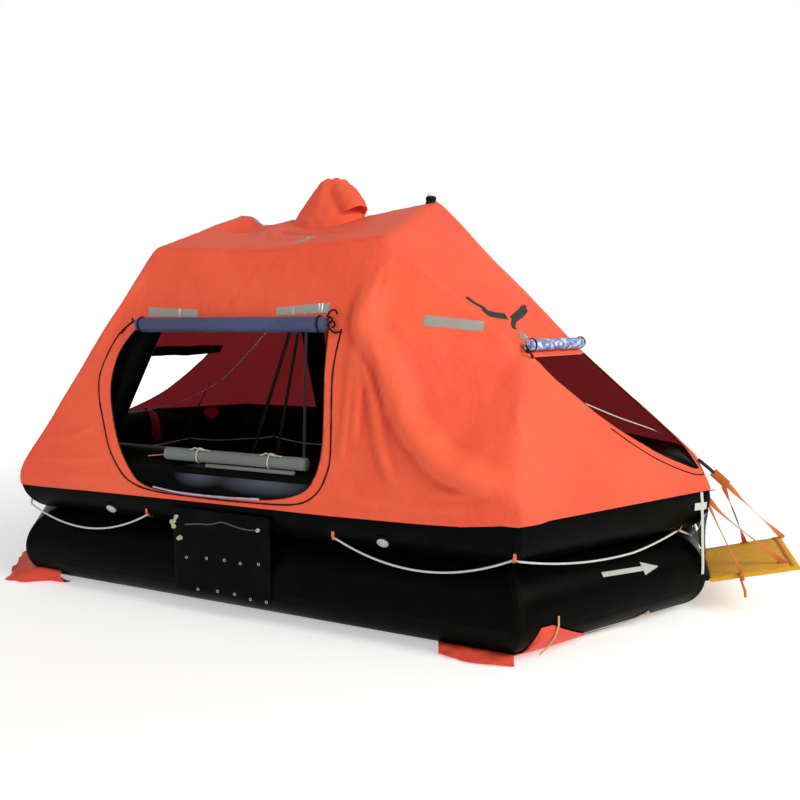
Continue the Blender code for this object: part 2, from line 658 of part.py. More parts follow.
# lifelines, held by patches on the upper tube and sagging between them
ROPE_R = 0.006
PATCH_LENGTH = 0.070
PATCH_THICK = 0.014
STEP = 0.060


def side_point(side, along, offset, z):
    """Point beside one side of the plan, along from its first corner, offset outward."""
    start, end = PLAN[side], PLAN[(side + 1) % len(PLAN)]
    direction = side_direction(start, end)
    point = Vector(start) + direction * along + outward(direction) * offset
    return Vector((point.x, point.y, z)), direction


def side_length(side):
    return (Vector(PLAN[(side + 1) % len(PLAN)]) - Vector(PLAN[side])).length


def rope_points(patches, offset, top_z, sag, closed):
    """From patch to patch round the plan, each span sagging in its middle."""
    route = []
    spans = list(zip(patches, patches[1:]))
    if closed:
        spans.append((patches[-1], patches[0]))
    for (side, along), (next_side, next_along) in spans:
        legs = []
        if side == next_side and next_along > along:
            legs.append((side, along, next_along))
        else:
            legs.append((side, along, None))
            step = (side + 1) % len(PLAN)
            while step != next_side:
                legs.append((step, None, None))
                step = (step + 1) % len(PLAN)
            legs.append((next_side, None, next_along))
        corners = [side_point(side, along, offset, 0)[0]]
        for leg, _, stop in legs:
            if stop is None:
                turn = mitre(PLAN[leg], PLAN[(leg + 1) % len(PLAN)], PLAN[(leg + 2) % len(PLAN)])
                corner = Vector(PLAN[(leg + 1) % len(PLAN)]) + turn * offset
                corners.append(Vector((corner.x, corner.y, 0)))
            else:
                corners.append(side_point(leg, stop, offset, 0)[0])
        total = sum((b - a).length for a, b in zip(corners, corners[1:]))
        done = 0.0
        for a, b in zip(corners, corners[1:]):
            pieces = max(1, ceil((b - a).length / STEP))
            for k in range(pieces):
                point = a.lerp(b, k / pieces)
                share = (done + (b - a).length * k / pieces) / total
                point.z = top_z - sag * min(1.0, total / 0.9) * 4 * share * (1 - share)
                route.append(tuple(point))
            done += (b - a).length
        last = corners[-1].copy()
        last.z = top_z
    if not closed:
        route.append(tuple(last))
    return route


def patch_boxes(name, patches, tilt, radius):
    """A thick little box on the tube at each patch, all in one cutter."""
    work = bmesh.new()
    for side, along in patches:
        foot, direction = side_point(side, along, 0, UPPER_Z + TOUCH)
        out = outward(direction)
        normal = Vector((out.x * cos(radians(tilt)), out.y * cos(radians(tilt)), sin(radians(tilt))))
        along_side = Vector((direction.x, direction.y, 0))
        across = normal.cross(along_side)
        made = bmesh.ops.create_cube(work, size=1.0)
        for vert in made["verts"]:
            vert.co = foot + along_side * vert.co.x * PATCH_LENGTH + across * vert.co.y * 0.050 \
                + normal * (radius + (vert.co.z + 0.5) * PATCH_THICK)
    return add_object(name, mesh_from(name, work), None, CUTTERS)


OUTER_TILT = -37.5
outer_centre = FACET_R + TOUCH + PATCH_THICK / 2
outer_offset = outer_centre * cos(radians(OUTER_TILT))
outer_z = UPPER_Z + TOUCH + outer_centre * sin(radians(OUTER_TILT))
CHAMFER_LENGTH = side_length(FRONT_RIGHT)
# side of the plan and distance along it, from right of the bottle panel round to left of it
OUTER_PATCHES = [(0, SIDE_X + 0.548), (0, 2 * SIDE_X - 0.020), (1, CHAMFER_LENGTH - 0.110),
                 (3, 0.110), (3, CHAMFER_LENGTH - 0.060), (4, 0.960), (4, 1.920),
                 (5, 0.060), (5, CHAMFER_LENGTH - 0.110), (7, 0.110), (7, CHAMFER_LENGTH - 0.050),
                 (0, SIDE_X - 0.569)]
rope = curve_mesh_object("lifeline_outer",
                         rope_points(OUTER_PATCHES, outer_offset, outer_z, 0.115, False),
                         ROPE_R, ROPE_WHITE, 1)
cut(rope, patch_boxes("outer_patches", OUTER_PATCHES, OUTER_TILT, FACET_R + TOUCH), "UNION")

INNER_TILT = 180 + 7.5
inner_centre = FACET_R + TOUCH + PATCH_THICK / 2
inner_offset = inner_centre * cos(radians(INNER_TILT))
inner_z = UPPER_Z + TOUCH + inner_centre * sin(radians(INNER_TILT))
INNER_PATCHES = [(0, 0.350), (0, 1.440), (0, 2.530), (1, 0.555), (3, 0.555), (4, 0.350), (4, 1.440),
                 (4, 2.530), (5, 0.555), (7, 0.555)]
inner_route = rope_points(INNER_PATCHES, inner_offset, inner_z, 0.050, True)
rope = curve_mesh_object("lifeline_inner", inner_route[:-1], ROPE_R, ROPE_WHITE, 1)
cut(rope, patch_boxes("inner_patches", INNER_PATCHES, INNER_TILT, FACET_R + TOUCH), "UNION")

# lower curtain rolled up on the front tube, and its batten
CURTAIN_R = 0.036
CURTAIN_X = (-0.487, 0.403)
CURTAIN_OUT = 0.133
seat = TUBE_R + CURTAIN_R - TOUCH - 0.0009    # between two edges of the tube's sides
curtain_y = -SIDE_Y - CURTAIN_OUT
curtain_z = UPPER_Z + TOUCH + sqrt(seat * seat - CURTAIN_OUT * CURTAIN_OUT)
curve_mesh_object("curtain_roll",
                  [(CURTAIN_X[0] + (CURTAIN_X[1] - CURTAIN_X[0]) * k / 6, curtain_y, curtain_z)
                   for k in range(7)], CURTAIN_R, ROLL_GREY)
BATTEN_R = 0.011
BATTEN_X = (-0.210, 0.345)
BATTEN_OUT = 0.155
batten_seat = TUBE_R + BATTEN_R - 0.0008
batten_z = UPPER_Z + TOUCH + sqrt(batten_seat * batten_seat - BATTEN_OUT * BATTEN_OUT)
curve_mesh_object("curtain_batten", [(x, -SIDE_Y - BATTEN_OUT, batten_z) for x in BATTEN_X], BATTEN_R,
                  BATTEN_GREY, 2)

# the origin goes to the middle of the raft with its ramp out
for thing in bpy.data.objects:
    thing.location.x -= RAMP_SHIFT_X
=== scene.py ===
"""Looks of a canopied self-righting inflatable liferaft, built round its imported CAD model."""
from math import ceil, cos, pi, radians, sin, sqrt

import bmesh
import bpy
import numpy as np
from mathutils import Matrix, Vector, noise
from mathutils.bvhtree import BVHTree


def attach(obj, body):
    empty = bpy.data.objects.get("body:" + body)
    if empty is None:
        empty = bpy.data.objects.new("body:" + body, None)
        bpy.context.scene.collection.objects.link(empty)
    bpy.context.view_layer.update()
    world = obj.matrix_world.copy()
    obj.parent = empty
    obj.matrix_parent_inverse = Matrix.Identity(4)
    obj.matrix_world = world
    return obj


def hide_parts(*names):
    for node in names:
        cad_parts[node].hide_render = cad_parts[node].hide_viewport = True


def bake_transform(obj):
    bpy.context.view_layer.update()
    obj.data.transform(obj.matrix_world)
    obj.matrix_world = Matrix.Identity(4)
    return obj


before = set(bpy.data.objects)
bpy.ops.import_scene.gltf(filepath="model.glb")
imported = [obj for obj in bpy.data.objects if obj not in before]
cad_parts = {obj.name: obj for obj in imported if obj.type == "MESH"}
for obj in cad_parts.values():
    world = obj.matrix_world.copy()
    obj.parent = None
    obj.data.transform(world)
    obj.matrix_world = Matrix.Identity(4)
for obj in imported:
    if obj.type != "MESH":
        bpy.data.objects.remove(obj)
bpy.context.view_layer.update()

# The view: the camera stands at eye height in front of the raft and to its right, and the
# raft stands on a plain pale floor in a bright, soft studio lit from the right.
MID_X = -0.22318          # middle of the tubes, measured from the origin
CAMERA_TURN = 0.359
CAMERA_TILT = -0.111
camera_data = bpy.data.cameras.new("camera")
camera_data.lens = 28.8
camera_data.sensor_width = 36.0
camera = bpy.data.objects.new("camera", camera_data)
bpy.context.scene.collection.objects.link(camera)
camera.location = (2.008 + MID_X, -4.056, 1.580)
look = Vector((-sin(CAMERA_TURN) * cos(CAMERA_TILT), cos(CAMERA_TURN) * cos(CAMERA_TILT),
               sin(CAMERA_TILT)))
camera.rotation_euler = look.to_track_quat("-Z", "Y").to_euler()
bpy.context.scene.camera = camera


def add_node(tree, kind, inputs=None, **fields):
    """Adds a shader or geometry node; inputs maps a socket to a value or to another socket."""
    node = tree.nodes.new(kind)
    for field, value in fields.items():
        setattr(node, field, value)
    for socket, value in (inputs or {}).items():
        if isinstance(value, bpy.types.NodeSocket):
            tree.links.new(value, node.inputs[socket])
        else:
            node.inputs[socket].default_value = value
    return node


def map_range(tree, value, old=(0.0, 1.0), new=(0.0, 1.0)):
    """A value carried from one range to another and held inside it."""
    return add_node(tree, "ShaderNodeMapRange",
                    {"Value": value, "From Min": old[0], "From Max": old[1], "To Min": new[0],
                     "To Max": new[1]}).outputs["Result"]


world = bpy.data.worlds.new("studio")
bpy.context.scene.world = world
world.use_nodes = True
bpy.context.scene.view_settings.view_transform = "Standard"
sky = world.node_tree
lit = sky.nodes["Background"]
lit.inputs["Color"].default_value = (1.0, 1.0, 1.0, 1.0)
lit.inputs["Strength"].default_value = 0.52
backdrop = add_node(sky, "ShaderNodeBackground", {"Color": (1.0, 1.0, 1.0, 1.0), "Strength": 1.0})
seen = add_node(sky, "ShaderNodeLightPath")
either = add_node(sky, "ShaderNodeMixShader", {0: seen.outputs["Is Camera Ray"], 1: lit.outputs["Background"],
                                               2: backdrop.outputs["Background"]})
sky.links.new(either.outputs["Shader"], sky.nodes["World Output"].inputs["Surface"])


def area_light(name, place, target, size, power, colour):
    data = bpy.data.lights.new(name, "AREA")
    data.shape = "RECTANGLE"
    data.size, data.size_y = size
    data.energy = power
    data.color = colour
    lamp = bpy.data.objects.new(name, data)
    bpy.context.scene.collection.objects.link(lamp)
    lamp.location = place
    lamp.rotation_euler = (Vector(target) - Vector(place)).to_track_quat("-Z", "Y").to_euler()


area_light("key_right", (7.0, -2.2, 5.4), (0.6, 0.0, 1.0), (3.0, 3.0), 430, (1.0, 1.02, 0.94))
area_light("fill_front", (-2.5, -6.5, 4.0), (0.0, 0.0, 1.0), (4.0, 3.0), 60, (0.95, 0.97, 1.0))

floor_mesh = bpy.data.meshes.new("studio_floor")
floor_mesh.from_pydata([(-30, -30, 0), (30, -30, 0), (30, 30, 0), (-30, 30, 0)], [], [(0, 1, 2, 3)])
studio_floor = bpy.data.objects.new("studio_floor", floor_mesh)
bpy.context.scene.collection.objects.link(studio_floor)
floor_paint = bpy.data.materials.new("studio_floor_paint")
floor_paint.use_nodes = True
tree = floor_paint.node_tree
shader = tree.nodes["Principled BSDF"]
shader.inputs["Base Color"].default_value = (0.70, 0.70, 0.70, 1)
shader.inputs["Roughness"].default_value = 0.95
shader.inputs["Emission Color"].default_value = (1, 1, 1, 1)
place = add_node(tree, "ShaderNodeTexCoord").outputs["Object"]
far_off = add_node(tree, "ShaderNodeVectorMath", {0: place}, operation="LENGTH").outputs["Value"]
lit_up = map_range(tree, far_off, (3.0, 8.0), (0.42, 0.80))     # the floor runs into the white backdrop
tree.links.new(lit_up, shader.inputs["Emission Strength"])
floor_mesh.materials.append(floor_paint)

# The buoyancy tubes: two rings of rubber-coated cloth, one glued on the other, each made of
# straight lengths mitred at the eight corners, with a tape glued over every mitre and a
# long seam tape along the outer side of each length. Places are measured from the middle
# of the tubes; finish_mesh moves each finished mesh to the origin.
TUBE_R = 0.2190
TUBE_SIDES = 56
LOWER_Z, UPPER_Z = 0.220, 0.6605
SIDE_X, SIDE_Y, END_X, END_Y = 1.44, 1.032, 2.172, 0.198
PLAN = [Vector(p) for p in ((-SIDE_X, -SIDE_Y), (SIDE_X, -SIDE_Y), (END_X, -END_Y), (END_X, END_Y),
                            (SIDE_X, SIDE_Y), (-SIDE_X, SIDE_Y), (-END_X, END_Y), (-END_X, -END_Y))]


def side_of(index):
    """Start, direction, outward direction and length of one side of the plan."""
    start, end = PLAN[index % 8], PLAN[(index + 1) % 8]
    step = (end - start).normalized()
    return start, step, Vector((step.y, -step.x)), (end - start).length


def mitre(index):
    """How far a corner of the plan moves for each metre that its two sides move outward."""
    first, second = side_of(index - 1)[2], side_of(index)[2]
    return (first + second) / (1 + first.dot(second))


def finish_mesh(name, work, *materials, smooth=True, recalc=True):
    """Turns a bmesh into an object of the scene, faces outward, in its place from the origin."""
    if recalc:
        bmesh.ops.recalc_face_normals(work, faces=work.faces[:])
    for vert in work.verts:
        vert.co.x += MID_X
    mesh = bpy.data.meshes.new(name)
    work.to_mesh(mesh)
    work.free()
    if smooth:
        mesh.shade_smooth()
        mesh.set_sharp_from_angle(angle=radians(50))
    thing = bpy.data.objects.new(name, mesh)
    bpy.context.scene.collection.objects.link(thing)
    for material in materials:
        mesh.materials.append(material)
    return thing


def dress(piece, slot, *nodes, body="raft"):
    """The piece rides on its body and stands for its CAD nodes, which it hides; slot is not used."""
    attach(piece, body)
    if nodes:
        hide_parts(*nodes)
    return piece


def skin_over(work, rings, closed=False):
    """Quads from ring to ring; the row of rings runs on into its first, or is capped at both ends."""
    for one, two in zip(rings, rings[1:] + (rings[:1] if closed else [])):
        for k in range(len(one)):
            m = (k + 1) % len(one)
            work.faces.new((one[k], one[m], two[m], two[k]))
    if not closed:
        work.faces.new(rings[0])
        work.faces.new(rings[-1])


def quads(work, grid, flip=1):
    """Quads between the rows of a grid of points."""
    for one, two in zip(grid, grid[1:]):
        for a, b, c, d in zip(one, one[1:], two[1:], two):
            work.faces.new((a, b, c, d)[::flip])


def slab(work, over, under):
    """Closes two grids of points, one over the other, into a thin solid."""
    quads(work, over)
    quads(work, under, -1)
    for rim in ((over[0], under[0]), (under[-1], over[-1]),
                ([row[-1] for row in over], [row[-1] for row in under]),
                ([row[0] for row in under], [row[0] for row in over])):
        quads(work, rim)


def noise_of(tree, place, scale, detail, **more):
    """Strength of a noise texture."""
    return add_node(tree, "ShaderNodeTexNoise",
                    {"Vector": place, "Scale": scale, "Detail": detail, **more}).outputs["Fac"]


def math_of(tree, operation, *values, clamp=False):
    """One step of arithmetic."""
    return add_node(tree, "ShaderNodeMath", dict(enumerate(values)), operation=operation,
                    use_clamp=clamp).outputs[0]


def mix_of(tree, factor, one, two, blend="MIX"):
    """Two colours mixed."""
    return add_node(tree, "ShaderNodeMix", {"Factor": factor, "A": one, "B": two}, data_type="RGBA",
                    blend_type=blend).outputs["Result"]


def new_group(name, inputs, outputs):
    """A shader node group; inputs and outputs are (name, kind of socket, value) and (name, kind)."""
    group = bpy.data.node_groups.new(name, "ShaderNodeTree")
    for label, kind, value in inputs:
        group.interface.new_socket(label, in_out="INPUT", socket_type=kind).default_value = value
    for label, kind in outputs:
        group.interface.new_socket(label, in_out="OUTPUT", socket_type=kind)
    return group, group.nodes.new("NodeGroupInput"), group.nodes.new("NodeGroupOutput")


# rubber_skin: the fine pebble of coated rubber cloth, uneven gloss, and dust that lies in patches
rubber_group, given, out = new_group(
    "rubber_skin",
    [("Rubber", "NodeSocketColor", (0.01, 0.01, 0.01, 1)), ("Dust", "NodeSocketColor", (0.1, 0.1, 0.1, 1)),
     ("Dust amount", "NodeSocketFloat", 0.3), ("Gloss from", "NodeSocketFloat", 0.3),
     ("Gloss to", "NodeSocketFloat", 0.5)],
    [("Color", "NodeSocketColor"), ("Roughness", "NodeSocketFloat"), ("Height", "NodeSocketFloat")])
place = add_node(rubber_group, "ShaderNodeTexCoord").outputs["Object"]
broad = noise_of(rubber_group, place, 2.1, 3.0)
patches = noise_of(rubber_group, place, 7.5, 5.0, Roughness=0.62)
pebble = noise_of(rubber_group, place, 160.0, 2.0)
puffs = noise_of(rubber_group, place, 3.4, 1.0)
gloss = map_range(rubber_group, broad, (0.35, 0.65), (given.outputs["Gloss from"], given.outputs["Gloss to"]))
share = math_of(rubber_group, "MULTIPLY", map_range(rubber_group, patches, (0.45, 0.80)),
                given.outputs["Dust amount"])
tint = mix_of(rubber_group, share, given.outputs["Rubber"], given.outputs["Dust"])
height = math_of(rubber_group, "ADD", puffs, math_of(rubber_group, "MULTIPLY", pebble, 0.10))
for source, socket in ((tint, "Color"), (gloss, "Roughness"), (height, "Height")):
    rubber_group.links.new(source, out.inputs[socket])


def coated(name, group, values, distance, strength, specular):
    """A material whose colour, roughness and bumps come from a shader group with its own values."""
    material = bpy.data.materials.new(name)
    material.use_nodes = True
    tree = material.node_tree
    shader = tree.nodes["Principled BSDF"]
    skin = add_node(tree, "ShaderNodeGroup", values, node_tree=group)
    bumps = add_node(tree, "ShaderNodeBump", {"Height": skin.outputs["Height"], "Distance": distance,
                                              "Strength": strength})
    for source, socket in ((skin.outputs["Color"], "Base Color"), (skin.outputs["Roughness"], "Roughness"),
                           (bumps.outputs["Normal"], "Normal")):
        tree.links.new(source, shader.inputs[socket])
    shader.inputs["Specular IOR Level"].default_value = specular
    return material


def rubber(name, colour, dust=(0.10, 0.10, 0.09), dust_amount=0.25, gloss_from=0.30, gloss_to=0.48, bump=0.010):
    """Coated rubber cloth in one colour."""
    return coated(name, rubber_group, {"Rubber": (*colour, 1), "Dust": (*dust, 1), "Dust amount": dust_amount,
                                       "Gloss from": gloss_from, "Gloss to": gloss_to}, bump, 0.6, 0.024)


tube_rubber = rubber("tube_rubber", (0.0012, 0.0016, 0.0012), (0.006, 0.007, 0.005), 0.30)
tape_rubber = rubber("tape_rubber", (0.0022, 0.0026, 0.0020), (0.010, 0.011, 0.008), 0.35, 0.42, 0.58)
# painted highlights: two long blue-grey glints painted into the upper tube's colour, where the daylight of the front
# door falls on it
upper_rubber_glints = tube_rubber.copy()
upper_rubber_glints.name = "tube_rubber_painted_glints"
upper_tree = upper_rubber_glints.node_tree
tone = next(node for node in upper_tree.nodes if node.type == "GROUP").outputs["Color"]
place = add_node(upper_tree, "ShaderNodeTexCoord").outputs["Object"]
for centre, size in (((-0.238, -1.214, 0.783), (0.173, 0.075, 0.075)),
                     ((0.175, -1.221, 0.772), (0.336, 0.075, 0.075))):
    lobe = add_node(upper_tree, "ShaderNodeMapping",
                    {"Vector": place, "Location": (centre[0] + MID_X, *centre[1:]), "Scale": size},
                    vector_type="TEXTURE")
    glint_ball = add_node(upper_tree, "ShaderNodeTexGradient", {"Vector": lobe.outputs["Vector"]},
                    gradient_type="SPHERICAL")
    tone = mix_of(upper_tree, glint_ball.outputs["Fac"], tone, (0.075, 0.085, 0.115, 1))
upper_tree.links.new(tone, upper_tree.nodes["Principled BSDF"].inputs["Base Color"])


def tube_stations(length):
    """Places along one side, close together at its ends."""
    near = [0.0, 0.006, 0.018, 0.045, 0.10]
    steps = max(1, int(length / 0.24))
    middle = [length * k / steps for k in range(1, steps)]
    return sorted(set(near) | {length - s for s in near[1:]}
                  | {m for m in middle if 0.15 < m < length - 0.15})


def tube_point(index, along, radius, turn, z):
    """Point of a tube's skin; turn is in radians up from its outermost line."""
    start, _, _, length = side_of(index)
    end = PLAN[(index + 1) % 8]
    out_by = radius * cos(turn)
    place = (start + mitre(index) * out_by).lerp(end + mitre(index + 1) * out_by, along / length)
    return Vector((place.x, place.y, z + radius * sin(turn)))


def on_tube(index, along, lift, turn, z, side=1):
    """A place lift metres off a tube's skin and the way outward there; turn is in degrees."""
    place = tube_point(index, along, TUBE_R + lift, radians(turn), z)
    away = (place - tube_point(index, along, 0.02, radians(turn), z)).normalized()
    return [Vector((side * v.x, side * v.y, v.z)) for v in (place, away)]


for name, z in (("tube_lower", LOWER_Z), ("tube_upper", UPPER_Z)):
    work = bmesh.new()
    rings = []
    for index in range(8):
        length = side_of(index)[3]
        for along in tube_stations(length):
            edge = min(along, length - along)
            radius = TUBE_R - 0.0030 * max(0.0, 1 - edge / 0.03) ** 2
            rings.append([work.verts.new(tube_point(index, along, radius, 2 * pi * k / TUBE_SIDES, z))
                          for k in range(TUBE_SIDES)])
    skin_over(work, rings, closed=True)
    skin_rubber = upper_rubber_glints if name == "tube_upper" else tube_rubber
    dress(finish_mesh(f"{name}_skin", work, skin_rubber), "tube_rubber", name)

TAPE_HALF = 0.028
TAPE_THICK = 0.0010
work = bmesh.new()
for z in (LOWER_Z, UPPER_Z):
    for index in range(8):
        before = side_of(index - 1)[3]
        stops = [(index - 1, before - TAPE_HALF), (index - 1, before - 0.010), (index, 0.0), (index, 0.010),
                 (index, TAPE_HALF)]
        turns = [-70, 250] if z == LOWER_Z else [-65, 245]
        angles = [radians(turns[0] + (turns[1] - turns[0]) * k / 40) for k in range(41)]
        under, over = ([[work.verts.new(tube_point(i, s, TUBE_R + lift, a, z)) for a in angles] for i, s in stops]
                       for lift in (-0.0016, TAPE_THICK + 0.0004))
        slab(work, over, under)
SEAM_SECTION = ((-0.001, -6), (TAPE_THICK, -5.6), (TAPE_THICK, 5.6), (-0.001, 6))
for z, angle in ((LOWER_Z, -14), (UPPER_Z, 40)):
    for index in range(8):
        length = side_of(index)[3]
        stations = [0.03 + (length - 0.06) * k / 12 for k in range(13)]
        skin_over(work, [[work.verts.new(tube_point(index, along, TUBE_R + lift, radians(angle + spread), z))
                          for lift, spread in SEAM_SECTION] for along in stations])
dress(finish_mesh("tube_tapes", work, tape_rubber), "tube_rubber")

# The floor: two layers of rubber cloth with air between them, drawn tight inside the lower
# tube and glued to it all round.
FLOOR_RINGS = [(-0.191, 0.030), (-0.191, 0.1095), (-0.2235, 0.1150), (-0.300, 0.1146), (-0.306, 0.1132),
               (-0.420, 0.1122), (-0.600, 0.1116)]
work = bmesh.new()
skin_over(work, [[work.verts.new((PLAN[i].x + mitre(i).x * offset, PLAN[i].y + mitre(i).y * offset, z))
                  for i in range(8)] for offset, z in FLOOR_RINGS])
floor_rubber = rubber("floor_rubber", (0.005, 0.005, 0.005), (0.022, 0.022, 0.018), 0.45, 0.50, 0.68, 0.012)
dress(finish_mesh("floor_skin", work, floor_rubber), "floor_rubber", "floor")

# The arches: two air-filled rubber hoops that stand on the upper tube and hold the canopy
# up. The front left and back right legs lean outward.
ARCH_R = 0.0945
ARCH_X = 0.700
ARCH_SHOULDER = (0.8038, 1.9846)
ARCH_APEX_Z = 2.2842
ARCH_FOOT = (1.002, 0.780)
ARCH_LEANS = {"arch_left": (-ARCH_X, -0.520, 0.140), "arch_right": (ARCH_X, -0.140, 0.520)}
ARCH_SIDES = 36


def rounded_route(corners, reach, steps=7):
    """A route through corners with each bend rounded, reach metres along both its legs."""
    corners = [Vector(c) for c in corners]
    route = [corners[0]]
    for before, here, after in zip(corners, corners[1:], corners[2:]):
        one = here + (before - here).normalized() * reach
        two = here + (after - here).normalized() * reach
        for k in range(steps + 1):
            t = k / steps
            route.append(one.lerp(here, t).lerp(here.lerp(two, t), t))
    return route + [corners[-1]]


def sweep(work, route, radius, sides, closed=False, start_turn=0.0):
    """Carries a round section along a route; radius is a number or a function of (share, turn)."""
    route = [Vector(p) for p in route]
    count = len(route)
    lengths = [0.0]
    for a, b in zip(route, route[1:]):
        lengths.append(lengths[-1] + (b - a).length)
    up = None
    rings = []
    for i, here in enumerate(route):
        before = route[i - 1] if closed or i else here
        after = route[(i + 1) % count] if closed or i < count - 1 else here
        along = (after - before).normalized()
        if up is None:
            up = Vector((0, 0, 1)) if abs(along.z) < 0.9 else Vector((1, 0, 0))
        up = (up - along * up.dot(along)).normalized()
        side = along.cross(up)
        ring = []
        for k in range(sides):
            turn = start_turn + 2 * pi * k / sides
            size = radius(lengths[i] / lengths[-1], turn) if callable(radius) else radius
            ring.append(work.verts.new(here + up * size * cos(turn) + side * size * sin(turn)))
        rings.append(ring)
    skin_over(work, rings, closed)


arch_rubber = rubber("arch_rubber", (0.0024, 0.0025, 0.0028), (0.012, 0.012, 0.011), 0.25, 0.34, 0.50)
arch_routes = {}
for name, (x, front_lean, back_lean) in ARCH_LEANS.items():
    corners = [(x + front_lean, -ARCH_FOOT[0], ARCH_FOOT[1]), (x, -ARCH_SHOULDER[0], ARCH_SHOULDER[1]),
               (x, 0, ARCH_APEX_Z), (x, ARCH_SHOULDER[0], ARCH_SHOULDER[1]),
               (x + back_lean, ARCH_FOOT[0], ARCH_FOOT[1])]
    route = rounded_route(corners, 0.11)
    arch_routes[name] = route
    work = bmesh.new()
    sweep(work, route, ARCH_R, ARCH_SIDES)
    dress(finish_mesh(f"{name}_skin", work, arch_rubber), "arch_rubber", name)

# The canopy: one sheet of orange coated cloth with a maroon lining, stretched over the two
# arches and glued round the upper tube, cut open in front and at both ends. The cloth is
# drawn into folds beside the front door.
SHEET = 0.008
HUG = 0.2205
HEM_Z = 0.63
CREASE_X, SHOULDER_Y, SHOULDER_Z, APEX_Z = 0.747, 0.888, 2.061, 2.392
MID_SHOULDER_Z, MID_APEX_Z = 2.015, 2.300
END_TOP = (1.425, 0.655, 1.463)
END_RIDGE = (1.625, 0.150, 1.465)
DRAWN_IN = [(0.660, 1.600), (0.920, 1.120), (1.150, 0.910)]
FRONT_SLOPE = 0.26563
CHAMFER_SLOPE = 0.60


def hug(angle):
    """Outward offset and height of a point that hugs the upper tube."""
    return HUG * cos(radians(angle)), 0.66 + HUG * sin(radians(angle))


def straight(angle_from, angle_to, slope):
    n, z = hug(angle_from)
    return n - slope * (hug(angle_to)[1] - z)


WALL_ROWS = [(HEM_Z - 0.06, HUG, HUG, HUG), (0.6605, HUG, HUG, HUG),
             (hug(15)[1], hug(15)[0], hug(15)[0], hug(15)[0]),
             (hug(30)[1], straight(15, 30, FRONT_SLOPE), hug(30)[0], hug(30)[0]),
             (hug(45)[1], straight(15, 45, FRONT_SLOPE), straight(30, 45, CHAMFER_SLOPE), hug(45)[0])]


def wall_row(z, front, chamfer, end):
    """Middle of the front, the two corners and the middle of the end, at one height."""
    start, step, away, _ = side_of(1)
    y, x = -(SIDE_Y + front), END_X + end
    on_chamfer = start + away * chamfer
    corner_x = on_chamfer.x + step.x * (y - on_chamfer.y) / step.y
    corner_y = on_chamfer.y + step.y * (x - on_chamfer.x) / step.x
    return [(0, y, z), (corner_x, y, z), (x, corner_y, z), (x, 0, z)]


rows = [wall_row(*row) for row in WALL_ROWS]
shoulder = (CREASE_X, -SHOULDER_Y, SHOULDER_Z)
apex = (CREASE_X, 0, APEX_Z)
mid_apex = (0, 0, MID_APEX_Z)
mid_shoulder = (0, -SHOULDER_Y - FRONT_SLOPE * (SHOULDER_Z - MID_SHOULDER_Z), MID_SHOULDER_Z)
door_corner = (END_TOP[0], -END_TOP[1], END_TOP[2])
ridge_side = (END_RIDGE[0], -END_RIDGE[1], END_RIDGE[2])
ridge_mid = (END_RIDGE[0], 0, END_RIDGE[2])
front, corner, end_corner, end = rows[-1]
form = bmesh.new()
made = {}


def form_face(side, *points):
    """One face of the canopy's coarse form, sharing its corners with its neighbours."""
    verts = []
    for x, y, z in points:
        key = (round(side * x, 6), round(y, 6), round(z, 6))
        if key not in made:
            made[key] = form.verts.new((side * x, y, z))
        verts.append(made[key])
    form.faces.new(verts)


for side in (1, -1):
    for low, high in zip(rows, rows[1:]):
        for i in range(3):
            form_face(side, low[i], low[i + 1], high[i + 1], high[i])
    crease = [shoulder]
    if side == 1:
        crease += [(x, -SHOULDER_Y - FRONT_SLOPE * (SHOULDER_Z - z), z) for x, z in DRAWN_IN]
    crease.append(corner)
    form_face(side, mid_shoulder, crease[1], shoulder)
    for upper, lower in zip(crease[1:], crease[2:]):
        form_face(side, front, lower, upper)
    for upper, lower in zip(crease, crease[1:]):
        form_face(side, lower, door_corner, upper)
    form_face(side, front, crease[1], mid_shoulder)
    form_face(side, corner, end_corner, door_corner)
    form_face(side, end_corner, ridge_side, door_corner)
    form_face(side, shoulder, door_corner, ridge_side)
    form_face(side, shoulder, ridge_side, apex)
    form_face(side, end_corner, end, ridge_mid, ridge_side)
    form_face(side, ridge_side, ridge_mid, apex)
    form_face(side, mid_shoulder, shoulder, mid_apex)
    form_face(side, shoulder, apex, mid_apex)
    form_face(side, (0, 0, rows[0][0][2]), *reversed(rows[0]))
twin = bmesh.ops.duplicate(form, geom=form.verts[:] + form.edges[:] + form.faces[:])
for item in twin["geom"]:
    if isinstance(item, bmesh.types.BMVert):
        item.co = (-item.co.x, -item.co.y, item.co.z)
bmesh.ops.remove_doubles(form, verts=form.verts[:], dist=0.0001)
bmesh.ops.recalc_face_normals(form, faces=form.faces[:])
form.normal_update()
for vert, move in [(v, v.normal * v.calc_shell_factor() * SHEET) for v in form.verts]:
    vert.co += move
form_mesh = bpy.data.meshes.new("canopy_form")
form.to_mesh(form_mesh)
form.free()
form_thing = bpy.data.objects.new("canopy_form", form_mesh)
bpy.context.scene.collection.objects.link(form_thing)
remesh = form_thing.modifiers.new("even_cells", "REMESH")
remesh.mode = "VOXEL"
remesh.voxel_size = 0.0195


def evaluated_mesh(thing):
    """The mesh that an object's modifiers make."""
    bpy.context.view_layer.update()
    return bpy.data.meshes.new_from_object(thing.evaluated_get(bpy.context.evaluated_depsgraph_get()))


cells = evaluated_mesh(form_thing)
points = np.empty(len(cells.vertices) * 3)
cells.vertices.foreach_get("co", points)
points = points.reshape(-1, 3)
edges = np.empty(len(cells.edges) * 2, dtype=np.int64)
cells.edges.foreach_get("vertices", edges)
edges = edges.reshape(-1, 2)


